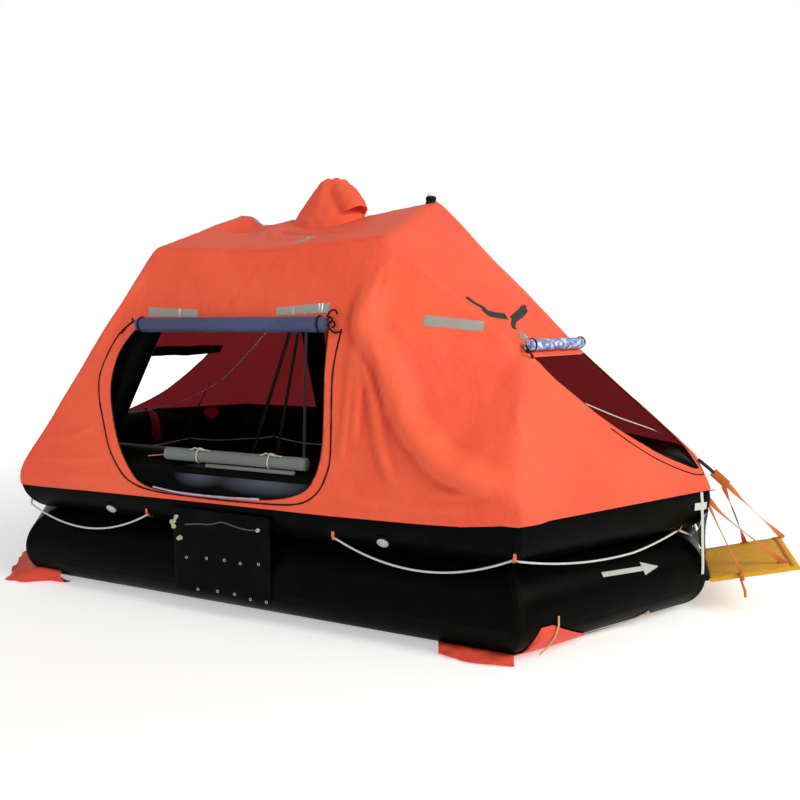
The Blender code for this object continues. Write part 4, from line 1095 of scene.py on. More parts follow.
hood = finish_mesh("lookout_hood_cloth", work, hood_orange)
dress(hood, "hood_cloth", "lookout_hood")
work = bmesh.new()
skirt = [on_skin((-0.020 + 0.292 * cos(2 * pi * k / 60), -0.010 + 0.224 * sin(2 * pi * k / 60), 2.26), (0, 0, -1))
         for k in range(60)]
ribbon(work, skirt + [skirt[0]], 0.022, 0.0016, 0.0006, 0.2)
dress(finish_mesh("hood_seam", work, hood_orange), "hood_cloth")

# The lamp on the right arch: a clear dome on a ribbed black base.
lamp_black = rubber("lamp_base", (0.008, 0.008, 0.008), (0.05, 0.05, 0.05), 0.2, 0.40, 0.50, 0.001)
lamp_white = rubber("lamp_dome", (0.72, 0.72, 0.68), (0.60, 0.60, 0.52), 0.2, 0.12, 0.22, 0.0005)
LAMP_X, LAMP_TOP = 0.700, 2.428


def lathe(work, profile, centre, axis, sides=28):
    """Turns (radius, height) points round an axis; a radius of 0 closes an end to a point."""
    axis = Vector(axis).normalized()
    one = axis.orthogonal().normalized()
    two = axis.cross(one)
    rings = []
    for radius, height in profile:
        middle = Vector(centre) + axis * height
        turns = [2 * pi * k / sides for k in range(sides)] if radius else [0.0]
        rings.append([work.verts.new(middle + (one * cos(a) + two * sin(a)) * radius) for a in turns])
    for low, high in zip(rings, rings[1:]):
        for k in range(sides):
            m = (k + 1) % sides
            corners = ([low[0]] if len(low) == 1 else [low[k], low[m]]) \
                + ([high[0]] if len(high) == 1 else [high[m], high[k]])
            work.faces.new(corners)
    for ring in (rings[0], rings[-1]):
        if len(ring) > 1:
            work.faces.new(ring)


for name, profile, material, slot_name, node in (
        ("lamp_base_ribbed", [(0.036, -0.046), (0.036, -0.036), (0.031, -0.034), (0.031, -0.026), (0.034, -0.024),
                              (0.034, -0.006), (0.030, -0.001), (0.0, 0.0)], lamp_black, "lamp_base", "light_base"),
        ("lamp_dome_clear", [(0.0, 0.0006), (0.0245, 0.0006), (0.0245, 0.003), (0.0228, 0.010), (0.0180, 0.0175),
                             (0.0105, 0.0228), (0.0, 0.0248)], lamp_white, "lamp_dome", "light_dome")):
    work = bmesh.new()
    lathe(work, profile, (LAMP_X, 0, LAMP_TOP), (0, 0, 1))
    dress(finish_mesh(name, work, material), slot_name, node)

# Reflective tapes glued to the canopy: silver strips with a fine crinkle bump, and white flashes painted into their
# colour as highlights.
silver = bpy.data.materials.new("reflective_tape")
silver.use_nodes = True
tree = silver.node_tree
shader = tree.nodes["Principled BSDF"]
place = add_node(tree, "ShaderNodeTexCoord").outputs["Object"]
stretch = add_node(tree, "ShaderNodeMapping", {"Vector": place, "Rotation": (0.0, 0.5, 0.0),
                                               "Scale": (26.0, 9.0, 5.0)})
painted_flash = map_range(tree, noise_of(tree, stretch.outputs["Vector"], 1.0, 2.0), (0.62, 0.68))
cells_noise = add_node(tree, "ShaderNodeTexVoronoi", {"Vector": place, "Scale": 240.0})
# painted highlight: the silver turns white where the stretched noise is high
tone = mix_of(tree, painted_flash, (0.285, 0.255, 0.225, 1), (0.95, 0.95, 0.95, 1))
bumps = add_node(tree, "ShaderNodeBump", {"Height": cells_noise.outputs["Distance"], "Distance": 0.0006,
                                          "Strength": 0.5})
tree.links.new(tone, shader.inputs["Base Color"])
tree.links.new(bumps.outputs["Normal"], shader.inputs["Normal"])
shader.inputs["Roughness"].default_value = 0.42
shader.inputs["Metallic"].default_value = 0.15


def laid_patch(work, corners, toward, thick=0.0012, across=(10, 4), back=0.45, crinkle=0.0008):
    """A thin patch that follows the canopy inside four corners: near left, near right, far right, far left."""
    a, b, c, d = (Vector(p) for p in corners)
    grid = []
    for j in range(across[1] + 1):
        row = []
        for i in range(across[0] + 1):
            u, v = i / across[0], j / across[1]
            spot, normal = on_skin(a.lerp(b, u).lerp(d.lerp(c, u), v), toward, back)
            lift = thick + crinkle * (0.5 + noise.noise(spot * 45))
            row.append((work.verts.new(spot + normal * lift), work.verts.new(spot - normal * 0.0005)))
        grid.append(row)
    slab(work, *([[pair[k] for pair in row] for row in grid] for k in (0, 1)))


FACET_WAY = (-0.55, 0.78, -0.30)
TAPES = [([(-0.722, -1.0, 1.650), (-0.372, -1.0, 1.645), (-0.376, -0.99, 1.688), (-0.727, -0.98, 1.706)], (0, 1, 0)),
         ([(0.147, -1.0, 1.650), (0.457, -1.0, 1.662), (0.469, -0.98, 1.718), (0.144, -0.99, 1.694)], (0, 1, 0)),
         ([(1.018, -0.984, 1.635), (1.253, -0.776, 1.578), (1.244, -0.743, 1.625), (1.007, -0.952, 1.683)], FACET_WAY),
         ([(0.150, -0.82, 2.08), (0.205, -0.82, 2.08), (0.195, -0.62, 2.14), (0.140, -0.62, 2.14)], (0, 0, -1)),
         ([(1.424, -0.624, 1.536), (1.469, -0.575, 1.535), (1.447, -0.560, 1.570), (1.412, -0.594, 1.585)], FACET_WAY)]
work = bmesh.new()
for corners, toward in TAPES:
    laid_patch(work, corners, toward)
    laid_patch(work, turned_round(corners), (-toward[0], -toward[1], toward[2]))
laid_patch(work, [(-0.70, -0.03, 2.39), (-0.53, -0.03, 2.32), (-0.53, 0.03, 2.32), (-0.70, 0.03, 2.39)], (0, 0, -1))
dress(finish_mesh("reflective_tapes", work, silver), "canopy_cloth")

# Two black straps sewn in a V on each end of the canopy, above the opening, each with a
# wide patch at its lower end.
strap_black = cloth_material("strap_black", (0.022, 0.024, 0.022), (0.050, 0.052, 0.048), 0.62, 0.002)
STRAPS = [([(1.150, -0.745, 1.755), (1.190, -0.715, 1.722), (1.235, -0.690, 1.703)], 0.026),
          ([(1.228, -0.695, 1.700), (1.262, -0.682, 1.672), (1.350, -0.586, 1.670)], 0.046),
          ([(1.462, -0.400, 1.755), (1.436, -0.450, 1.715), (1.385, -0.560, 1.655)], 0.050),
          ([(1.470, -0.385, 1.775), (1.458, -0.405, 1.750)], 0.022),
          ([(1.392, -0.550, 1.660), (1.385, -0.590, 1.615), (1.396, -0.600, 1.595)], 0.030)]
work = bmesh.new()
for places, width in STRAPS:
    for mirror in (1, -1):
        for side in (1, -1):
            route = dense(smooth_route([(side * x, mirror * y, z) for x, y, z in places]), 0.012)
            toward = (-0.55 * side, 0.78 * mirror, -0.30)
            ribbon(work, [on_skin(p, toward, 0.3) for p in route], width, 0.003, 0.0, 0.10)
dress(finish_mesh("canopy_straps", work, strap_black), "canopy_cloth")

# The bottle panel: a sheet of black rubber cloth stretched over the gas bottle between the
# two tubes, with two rows of eyelets, a lacing line and pale fittings at its upper left.
PANEL_X, PANEL_Z, PANEL_Y = (-0.390, 0.230), (0.130, 0.600), -1.2548


def thicken(piece, thick, offset=-1.0):
    """Gives an open sheet its thickness."""
    wall = piece.modifiers.new("thickness", "SOLIDIFY")
    wall.thickness = thick
    wall.offset = offset
    solid = evaluated_mesh(piece)
    piece.modifiers.clear()
    piece.data = solid
    return piece


def add_grid(work, rows):
    """Quads between rows of places."""
    quads(work, [[work.verts.new(place) for place in row] for row in rows])


def panel_y(x, z):
    return PANEL_Y - 0.0022 * (1 + noise.noise(Vector((x * 7, 0.3, z * 9)))) - 0.0010 * noise.noise(
        Vector((x * 30, 1.3, z * 30)))


panel_rubber = rubber("panel_rubber", (0.0022, 0.0028, 0.0026), (0.011, 0.013, 0.011), 0.35, 0.38, 0.55, 0.006)
work = bmesh.new()
xs = [PANEL_X[0] + (PANEL_X[1] - PANEL_X[0]) * i / 40 for i in range(41)]
zs = [PANEL_Z[0] + (PANEL_Z[1] - PANEL_Z[0]) * j / 30 for j in range(31)]
add_grid(work, [[(x, panel_y(x, z), z) for x in xs] for z in zs])
panel = thicken(finish_mesh("bottle_panel_sheet", work, panel_rubber), 0.0024, 0.0)
dress(panel, "panel_rubber", "bottle_panel")


def new_growth(name, inputs):
    """A geometry node group with named inputs; returns it, its sockets and its two ends."""
    group = bpy.data.node_groups.new(name, "GeometryNodeTree")
    group.interface.new_socket("Geometry", in_out="INPUT", socket_type="NodeSocketGeometry")
    sockets = {label: group.interface.new_socket(label, in_out="INPUT", socket_type=kind)
               for label, kind in inputs}
    group.interface.new_socket("Geometry", in_out="OUTPUT", socket_type="NodeSocketGeometry")
    return group, sockets, group.nodes.new("NodeGroupInput"), group.nodes.new("NodeGroupOutput")


def end_growth(group, given, out, geometry):
    """Ends a geometry node group: its instances are made real and take the material."""
    real = add_node(group, "GeometryNodeRealizeInstances", {"Geometry": geometry})
    coat = add_node(group, "GeometryNodeSetMaterial", {"Geometry": real.outputs["Geometry"],
                                                       "Material": given.outputs["Material"]})
    group.links.new(coat.outputs["Geometry"], out.inputs["Geometry"])


def grow(name, places, pairs, group, sockets, values):
    """Runs a geometry node group on points or a path and keeps the mesh that it makes."""
    mesh = bpy.data.meshes.new(name)
    mesh.from_pydata([(x + MID_X, y, z) for x, y, z in places], pairs, [])
    thing = bpy.data.objects.new(name, mesh)
    bpy.context.scene.collection.objects.link(thing)
    step = thing.modifiers.new("growth", "NODES")
    step.node_group = group
    for label, value in values.items():
        step[sockets[label].identifier] = value
    grown = evaluated_mesh(thing)
    thing.modifiers.clear()
    thing.data = grown
    return thing


# eyelet_rows: one brass ring on each point, facing the front
eyelet_rows, eyelet_sockets, given, out = new_growth(
    "eyelet_rows", [("Ring radius", "NodeSocketFloat"), ("Wire radius", "NodeSocketFloat"),
                    ("Material", "NodeSocketMaterial")])
ring = add_node(eyelet_rows, "GeometryNodeCurvePrimitiveCircle", {"Resolution": 22,
                                                                  "Radius": given.outputs["Ring radius"]})
wire = add_node(eyelet_rows, "GeometryNodeCurvePrimitiveCircle", {"Resolution": 10,
                                                                  "Radius": given.outputs["Wire radius"]})
band = add_node(eyelet_rows, "GeometryNodeCurveToMesh", {"Curve": ring.outputs["Curve"],
                                                         "Profile Curve": wire.outputs["Curve"]})
soft = add_node(eyelet_rows, "GeometryNodeSetShadeSmooth", {"Geometry": band.outputs["Mesh"]})
set_out = add_node(eyelet_rows, "GeometryNodeInstanceOnPoints",
                   {"Points": given.outputs["Geometry"], "Instance": soft.outputs["Geometry"],
                    "Rotation": (pi / 2, 0.0, 0.0)})
end_growth(eyelet_rows, given, out, set_out.outputs["Instances"])
EYELETS = [(-0.307, 0.319), (-0.173, 0.331), (-0.056, 0.335), (0.046, 0.331), (0.159, 0.341),
           (-0.237, 0.146), (-0.108, 0.152), (0.002, 0.152), (0.103, 0.139), (0.202, 0.139)]
brass = rubber("eyelet_metal", (0.42, 0.41, 0.36), (0.22, 0.21, 0.18), 0.5, 0.28, 0.42, 0.0005)
brass.node_tree.nodes["Principled BSDF"].inputs["Metallic"].default_value = 0.55
places = [(x, panel_y(x, z) - 0.0022, z) for x, z in EYELETS]
eyelets = grow("eyelets", places, [], eyelet_rows, eyelet_sockets,
               {"Ring radius": 0.0066, "Wire radius": 0.0022, "Material": brass})
dress(eyelets, "panel_rubber")

line_grey = cloth_material("lacing_line", (0.085, 0.090, 0.085), (0.14, 0.14, 0.13), 0.7, 0.001)
fitting_pale = rubber("fitting_plastic", (0.42, 0.42, 0.27), (0.30, 0.29, 0.20), 0.4, 0.30, 0.45, 0.0005)
work = bmesh.new()
LACING = [(-0.306, 0.508), (-0.225, 0.519), (-0.140, 0.526), (-0.061, 0.546), (0.030, 0.529), (0.100, 0.522),
          (0.150, 0.526)]
sweep(work, [(q.x, panel_y(q.x, q.z) - 0.0042, q.z) for q in smooth_route([(x, 0, z) for x, z in LACING])],
      0.0034, 8)
dress(finish_mesh("lacing_line", work, line_grey), "panel_rubber")
work = bmesh.new()
lathe(work, [(0.0, -0.002), (0.010, -0.002), (0.011, 0.006), (0.009, 0.014), (0.005, 0.018), (0.0, 0.0185)],
      (0.162, panel_y(0.162, 0.527), 0.527), (0, -1, 0), 20)
lathe(work, [(0.0, -0.002), (0.014, -0.002), (0.014, 0.004), (0.0105, 0.007), (0.0125, 0.014), (0.0105, 0.022),
             (0.004, 0.025), (0.0, 0.0252)], (-0.343, panel_y(-0.343, 0.429), 0.429), (0, -1, 0), 24)
for one, two, size in (((-0.361, 0.548), (-0.377, 0.520), 0.0085), ((-0.393, 0.516), (-0.380, 0.490), 0.0095)):
    sweep(work, [(x, panel_y(x, z) - 0.008, z) for x, z in (one, two)], size, 14)
    for x, z in (one, two):
        lathe(work, [(0.0, 0.0), (size * 1.25, 0.0), (size * 1.25, 0.010), (size, 0.012), (0.0, 0.0125)],
              (x, panel_y(x, z) - 0.003, z), (0, -1, 0), 16)
dress(finish_mesh("panel_fittings", work, fitting_pale), "panel_rubber")

# The two inflation valves of the upper tube: pale plastic caps on round rubber patches.
valve_plastic = rubber("valve_plastic", (0.52, 0.53, 0.50), (0.33, 0.33, 0.30), 0.3, 0.30, 0.42, 0.0005)
VALVE_TURN = radians(-37.5)
for name, x in (("valve_left", -0.878), ("valve_right", 0.848)):
    way = Vector((0, -cos(VALVE_TURN), sin(VALVE_TURN)))
    seat = Vector((x, -SIDE_Y, UPPER_Z)) + way * TUBE_R
    work = bmesh.new()
    lathe(work, [(0.030, -0.004), (0.030, 0.0070), (0.0275, 0.0105), (0.0235, 0.0120), (0.0205, 0.0115),
                 (0.0195, 0.0060), (0.0165, 0.0055), (0.0150, 0.0100), (0.0, 0.0108)], seat, way, 32)
    dress(finish_mesh(f"{name}_cap", work, valve_plastic), "valve_plastic", name)
    work = bmesh.new()
    lathe(work, [(0.0, -0.006), (0.052, -0.006), (0.052, -0.001), (0.049, 0.0012), (0.0, 0.0030)], seat, way, 40)
    dress(finish_mesh(f"{name}_patch", work, tape_rubber), "tube_rubber")

# The lifelines: laid rope that runs through webbing loops on the upper tube, round the
# outside and round the inside, and hangs in a bow between the loops.
rope_white = cloth_material("lifeline_rope", (0.58, 0.57, 0.54), (0.68, 0.67, 0.63), 0.70, 0.0015)
rope_lay, rope_sockets, given, out = new_growth(
    "rope_lay", [("Rope radius", "NodeSocketFloat"), ("Lay length", "NodeSocketFloat"),
                 ("Step", "NodeSocketFloat"), ("Material", "NodeSocketMaterial")])
path = add_node(rope_lay, "GeometryNodeMeshToCurve", {"Mesh": given.outputs["Geometry"]})
even = add_node(rope_lay, "GeometryNodeResampleCurve", {"Curve": path.outputs["Curve"],
                                                        "Length": given.outputs["Step"]}, mode="LENGTH")
run = add_node(rope_lay, "GeometryNodeSplineParameter")
laps = math_of(rope_lay, "DIVIDE", run.outputs["Length"], given.outputs["Lay length"])
twist = math_of(rope_lay, "MULTIPLY", laps, 2 * pi)
turned = add_node(rope_lay, "GeometryNodeSetCurveTilt", {"Curve": even.outputs["Curve"], "Tilt": twist})
around = add_node(rope_lay, "GeometryNodeCurvePrimitiveCircle", {"Resolution": 12,
                                                                 "Radius": given.outputs["Rope radius"]})
number = add_node(rope_lay, "GeometryNodeInputIndex")
lobe = math_of(rope_lay, "COSINE", math_of(rope_lay, "MULTIPLY", number.outputs[0], 3 * 2 * pi / 12))
size = math_of(rope_lay, "MULTIPLY_ADD", lobe, 0.13, 0.87)
spot = add_node(rope_lay, "GeometryNodeInputPosition")
lobed = add_node(rope_lay, "ShaderNodeVectorMath", {0: spot.outputs[0], "Scale": size},
                 operation="SCALE")
strands = add_node(rope_lay, "GeometryNodeSetPosition", {"Geometry": around.outputs["Curve"],
                                                         "Position": lobed.outputs[0]})
body = add_node(rope_lay, "GeometryNodeCurveToMesh", {"Curve": turned.outputs["Curve"],
                                                      "Profile Curve": strands.outputs["Geometry"],
                                                      "Fill Caps": True})
soft = add_node(rope_lay, "GeometryNodeSetShadeSmooth", {"Geometry": body.outputs["Mesh"]})
end_growth(rope_lay, given, out, soft.outputs["Geometry"])


def lay_rope(name, route, radius, material, closed=False, lay=0.030, step=0.006):
    """A twisted three-strand rope along a route."""
    pairs = [(k, k + 1) for k in range(len(route) - 1)] + ([(len(route) - 1, 0)] if closed else [])
    return grow(name, route, pairs, rope_lay, rope_sockets,
                {"Rope radius": radius, "Lay length": lay, "Step": step, "Material": material})


ROPE_R = 0.0060
CHAMFER = side_of(1)[3]
OUTER = [(0, SIDE_X + 0.548), (0, 2 * SIDE_X - 0.020), (1, CHAMFER - 0.110), (3, 0.110), (3, CHAMFER - 0.060),
         (4, 0.960), (4, 1.920), (5, 0.060), (5, CHAMFER - 0.110), (7, 0.110), (7, CHAMFER - 0.050),
         (0, SIDE_X - 0.569)]
INNER = [(0, 0.35), (0, 1.44), (0, 2.53), (1, 0.555), (3, 0.555), (4, 0.35), (4, 1.63), (4, 2.53), (5, 0.555),
         (7, 0.555)]
SAGS = {1: 0.070, 7: 0.070, 10: 0.135}      # the spans of the outer line that hang otherwise
LOW_MARKS = {2: 0.040, 8: 0.040}            # its loops that are sewn on lower
LOOP_ARCH = ((10, 0.001), (7.5, 0.0035), (4.6, 0.0100), (1.6, 0.0138), (-1.6, 0.0138), (-4.6, 0.0100),
             (-6.5, 0.0035), (-8, 0.001))           # turn along each loop and its height off the tube
becket_orange = cloth_material("becket_webbing", (0.70, 0.13, 0.055), (0.78, 0.22, 0.11), 0.6, 0.001)


def ring_place(distance, ends, lengths):
    """Place on a closed outline of eight straight sides."""
    distance %= sum(lengths)
    for start, end, length in zip(ends, ends[1:] + ends[:1], lengths):
        if distance <= length:
            return start.lerp(end, distance / length)
        distance -= length
    return ends[0]


def tube_pad(work, index, along, turn, z, half_length, half_turn, height):
    """A low domed rubber pad glued on a tube."""
    over, under = [], []
    for i in range(11):
        u = -1 + i / 5
        tops, lows = [], []
        for j in range(9):
            v = -1 + j / 4
            here = along + u * half_length * (1 - 0.12 * v ** 4)
            at = radians(turn + v * half_turn * (1 - 0.12 * u ** 4))
            dome = 0.0010 + height * (1 - u ** 4) * (1 - v ** 4)
            tops.append(work.verts.new(tube_point(index, here, TUBE_R + dome, at, z)))
            lows.append(work.verts.new(tube_point(index, here, TUBE_R - 0.0015, at, z)))
        over.append(tops)
        under.append(lows)
    slab(work, over, under)


for name, offset, rope_z, turn, sag, patches, closed in (
        ("lifeline_outer", 0.1790, 0.5232, -37.5, 0.115, OUTER, False),
        ("lifeline_inner", -0.2237, 0.6311, 187.5, 0.050, INNER, True)):
    ends = [PLAN[i] + mitre(i) * offset for i in range(8)]
    lengths = [(b - a).length for a, b in zip(ends, ends[1:] + ends[:1])]
    marks = [sum(lengths[:i]) + along / side_of(i)[3] * lengths[i] for i, along in patches]
    if closed:
        marks.append(marks[0] + sum(lengths))
    else:
        marks[-1] += sum(lengths)
    route = []
    outer = name == "lifeline_outer"
    lows = LOW_MARKS if outer else {}
    for number, (a, b) in enumerate(zip(marks, marks[1:])):
        pieces = ceil((b - a) / 0.03)
        span_sag = SAGS.get(number, sag) if outer else sag
        for k in range(pieces):
            s = k / pieces
            spot = ring_place(a + (b - a) * s, ends, lengths)
            drop = span_sag * min(1.0, (b - a) / 0.9) * 4 * s * (1 - s)
            for mark, share in ((number, 1 - s), (number + 1, s)):
                if mark in lows:
                    low = lows[mark] * max(0.0, 1 - (1 - share) * 3) if share < 1 else lows[mark]
                    spot = spot - side_of(patches[mark][0])[2] * low
                    drop += lows[mark] * share
            route.append((spot.x, spot.y, rope_z - drop))
    if not closed:
        spot = ring_place(marks[-1], ends, lengths)
        route.append((spot.x, spot.y, rope_z))
    rope = lay_rope(f"{name}_rope", route, ROPE_R, rope_white, closed)
    dress(rope, "lifeline_rope", name)
    pads, loops = bmesh.new(), bmesh.new()
    base_turn = turn
    for number, (index, along) in enumerate(patches):
        turn = base_turn - (14.4 if number in lows else 0.0)
        tube_pad(pads, index, along, turn, UPPER_Z, 0.035, 6.5, 0.0035)
        way = 1 if outer else -1
        loop = [on_tube(index, along, lift, turn + way * spread, UPPER_Z) for spread, lift in LOOP_ARCH]
        ribbon(loops, loop, 0.016, 0.0016, 0.0002)
    dress(finish_mesh(f"{name}_patches", pads, tape_rubber), "lifeline_rope")
    dress(finish_mesh(f"{name}_loops", loops, becket_orange if outer else strap_black), "lifeline_rope")

# Marks and tapes on the tubes: a white arrow toward the ramp, and at both corners of the
# ramp's end a white webbing that hangs from the canopy, crossed by a short tape, with a
# grey gusset that closes the groove between the tubes.
mark_white = rubber("mark_white", (0.44, 0.43, 0.39), (0.30, 0.29, 0.25), 0.5, 0.45, 0.60, 0.001)
webbing_white = cloth_material("webbing_white", (0.50, 0.49, 0.47), (0.60, 0.59, 0.57), 0.65, 0.001)
gusset_grey = rubber("gusset_grey", (0.050, 0.047, 0.038), (0.105, 0.100, 0.082), 0.5, 0.40, 0.55, 0.004)


def tube_strip(work, index, z, rows, lift=0.0014, across=6):
    """A thin mark on a tube: rows of (place along the side, lower turn, upper turn) in degrees."""
    over, under = ([[work.verts.new(tube_point(index, along, TUBE_R + rise,
                                               radians(low + (high - low) * k / across), z))
                     for k in range(across + 1)] for along, low, high in rows] for rise in (lift, -0.001))
    slab(work, over, under)


work = bmesh.new()
tube_strip(work, 1, LOWER_Z, [(0.473, 34.3, 40.7), (0.60, 32.0, 38.4), (0.722, 29.8, 36.2)])
tube_strip(work, 1, LOWER_Z, [(0.718, 24.0, 42.0), (0.812, 30.5, 31.5)])
dress(finish_mesh("ramp_arrow", work, mark_white), "tube_rubber")

out_way = side_of(1)[2]
face_out = Vector((out_way.x, out_way.y, 0))
tapes, gussets = bmesh.new(), bmesh.new()
for mirror in (1, -1):
    def flipped(place):
        return Vector((place[0], place[1] * mirror, place[2]))

    hang = [(2.3440, -0.3290, 0.706), (2.3490, -0.3325, 0.660), (2.3505, -0.3305, 0.624),
            (2.356, -0.324, 0.560), (2.364, -0.315, 0.420), (2.372, -0.306, 0.300), (2.373, -0.305, 0.242)]
    ribbon(tapes, [(flipped(q), flipped(face_out)) for q in dense(smooth_route(hang), 0.02)], 0.021, 0.0018)
    cross = [(2.309, -0.372, 0.631), (2.345, -0.331, 0.629), (2.372, -0.300, 0.627)]
    ribbon(tapes, [(flipped(Vector(q) + face_out * 0.0026), flipped(face_out)) for q in cross], 0.040, 0.0016)
    columns = []
    for index, share, low, high in ((1, 0.925, 0.452, 0.478), (1, 0.950, 0.415, 0.515), (1, 0.975, 0.375, 0.565),
                                    (1, 1.000, 0.335, 0.600), (2, 0.10, 0.345, 0.590), (2, 0.22, 0.385, 0.545),
                                    (2, 0.32, 0.430, 0.480)):
        column = []
        for k in range(9):
            z = low + (high - low) * k / 8
            offset = 0.2160 - 0.010 * sin(pi * k / 8)
            nearest_z = LOWER_Z if z < 0.44 else UPPER_Z
            offset = max(offset, sqrt(max(0.0, TUBE_R ** 2 - (z - nearest_z) ** 2)) + 0.0012)
            one = PLAN[index] + mitre(index) * offset
            two = PLAN[index + 1] + mitre(index + 1) * offset
            spot = one.lerp(two, share)
            column.append(flipped((spot.x, spot.y, z)))
        columns.append(column)
    add_grid(gussets, columns)
dress(finish_mesh("corner_tapes", tapes, webbing_white), "tube_rubber")
gusset = thicken(finish_mesh("corner_gussets", gussets, gusset_grey), 0.0018, 0.0)
dress(gusset, "tube_rubber")

# The ballast pockets: bags of orange coated cloth glued under the lower tube at the four
# corners; out of the water they lie crumpled on the floor, half under the tube.
# painted shade: the pocket cloth is coloured darker and redder than the canopy cloth, as the shade under the tube
pocket_orange_shaded = cloth_material("pocket_cloth", (0.66, 0.055, 0.032), (0.84, 0.120, 0.060), 0.50, 0.014)
TUCKED = [(0.1760, 0.0880), (0.1925, 0.0800), (0.1945, 0.0500), (0.1860, 0.0180), (0.1600, 0.0045),
          (0.1150, 0.0035)]
SPREAD = [(0.1740, 0.0850), (0.2080, 0.0740), (0.2550, 0.0480), (0.3050, 0.0260), (0.3420, 0.0100),
          (0.3500, 0.0035)]
LOW = [(0.1200, 0.0360), (0.1650, 0.0460), (0.2000, 0.0300), (0.2150, 0.0120), (0.2000, 0.0040), (0.1500, 0.0035)]
HIGH = [(0.2195, 0.1900), (0.2180, 0.1450), (0.2080, 0.0950), (0.1950, 0.0480), (0.1750, 0.0120), (0.1150, 0.0035)]
POCKETS = [("pocket_front_left", 0, 0.20, 0.62, TUCKED, SPREAD), ("pocket_front_right", 1, 0.36, 0.40, LOW, HIGH),
           ("pocket_back_right", 4, 0.20, 0.62, TUCKED, SPREAD), ("pocket_back_left", 5, 0.36, 0.40, LOW, HIGH)]
for name, corner_index, long_reach, short_reach, long_section, short_section in POCKETS:
    long_first = corner_index in (1, 5)
    reaches = (long_reach, short_reach) if long_first else (short_reach, long_reach)
    shapes = (long_section, short_section) if long_first else (short_section, long_section)
    sections = [smooth_route([(n, 0, z) for n, z in shape], 4) for shape in shapes]
    rows = []
    count = int((reaches[0] + reaches[1]) / 0.012)
    for i in range(count + 1):
        at = -reaches[0] + (reaches[0] + reaches[1]) * i / count
        index = (corner_index - 1) % 8 if at < 0 else corner_index
        along = side_of(index)[3] + at if at < 0 else at
        climbs = short_section is HIGH      # the cloth climbs the tube beside the corner
        blend = min(1.0, max(0.0, 0.5 + ((at - 0.075) / 0.07 if climbs else at / 0.20)))
        end_gap = min(at + reaches[0], reaches[1] - at)
        row = []
        for k, (q, r) in enumerate(zip(*sections)):
            s = k / (len(sections[0]) - 1)
            n, z = q.x + (r.x - q.x) * blend, q.z + (r.z - q.z) * blend
            pull = min(1.0, end_gap / 0.10)
            n = 0.150 + (n - 0.150) * (0.55 + 0.45 * pull) if k > 3 else n
            creases = noise.noise(Vector((at * 13, s * 3.0, corner_index))) + 0.5 * noise.noise(
                Vector((at * 34, s * 6.0, corner_index + 9)))
            free = min(1.0, s * 3)
            z += 0.019 * creases * free * (1 - s) + 0.006 * abs(creases) * s
            n += 0.015 * creases * free
            if climbs and at < 0.04:
                n = min(n, 0.150 + (n - 0.150) * min(1.0, 0.30 + (0.04 - at) / 0.34))
            if climbs and at > 0.17:
                z *= 1 - 0.70 * min(1.0, (at - 0.17) / 0.22)
            z = max(z, 0.0032)
            floor_gap = LOWER_Z - z
            if climbs and at > 0.0 and floor_gap < TUBE_R:
                n = min(n, sqrt(TUBE_R ** 2 - floor_gap ** 2) + 0.010 + 0.016 * s)
            if floor_gap < TUBE_R:
                n = max(n, sqrt(TUBE_R ** 2 - floor_gap ** 2) + 0.0022) if n > 0.10 and z > 0.02 else n
            one = PLAN[index] + mitre(index) * n
            two = PLAN[(index + 1) % 8] + mitre(index + 1) * n
            spot = one.lerp(two, along / side_of(index)[3])
            row.append((spot.x, spot.y, z))
        rows.append(row)
    work = bmesh.new()
    add_grid(work, rows)
    pocket = thicken(finish_mesh(f"{name}_bag", work, pocket_orange_shaded), 0.0030, 0.0)
    dress(pocket, "pocket_cloth", name)

webbing_tan = cloth_material("webbing_tan", (0.56, 0.27, 0.10), (0.66, 0.38, 0.18), 0.6, 0.001)
work = bmesh.new()
for side in (1, -1):
    strip = [(0.28, -66, 0.0030), (0.40, -63, 0.0050), (0.55, -60, 0.0060), (0.66, -56, 0.0050), (0.72, -48, 0.0030),
             (0.765, -41, 0.0020)]
    ribbon(work, [on_tube(1, along, lift, turn, LOWER_Z, side) for along, turn, lift in strip], 0.036, 0.0022)
    knob, knob_way = on_tube(1, 0.775, 0.0, -39, LOWER_Z, side)
    lathe(work, [(0.0, -0.002), (0.012, -0.002), (0.012, 0.004), (0.008, 0.010), (0.0, 0.012)], knob, knob_way, 16)
    drop = [(0.200, 2, 0.002), (0.196, -8, 0.014), (0.184, -22, 0.020), (0.160, -37, 0.025), (0.130, -52, 0.036)]
    ribbon(work, [on_tube(1, along, lift, turn, LOWER_Z, side) for along, turn, lift in drop], 0.010, 0.0020)
dress(finish_mesh("pocket_straps", work, webbing_tan), "pocket_cloth")

# The boarding ramp: a flat inflated step of yellow cloth, hinged on a flange of the lower
# tube and held a little up by four webbings that run to the upper tube.
HINGE_X, HINGE_Z = 2.430, 0.197
RAMP_TILT = radians(16.9)
RAMP_FROM, RAMP_TO, RAMP_HALF, RAMP_EDGE = -0.0148, 0.4348, 0.2598, 0.0148
ramp_yellow = cloth_material("ramp_yellow", (0.68, 0.305, 0.006), (0.76, 0.40, 0.030), 0.50, 0.014)


def on_ramp(u, v, w):
    """Along the ramp from its hinge, square to it and across it."""
    return Vector((HINGE_X + u * cos(RAMP_TILT) - v * sin(RAMP_TILT), w,
                   HINGE_Z + u * sin(RAMP_TILT) + v * cos(RAMP_TILT)))


def eased(low, high, count, edge):
    """Numbers from low to high, close together near both ends."""
    near = [edge * (1 - cos(pi / 2 * k / 5)) for k in range(6)]
    middle = [low + edge + (high - low - 2 * edge) * k / count for k in range(1, count)]
    return [low + s for s in near] + middle + [high - s for s in reversed(near)]


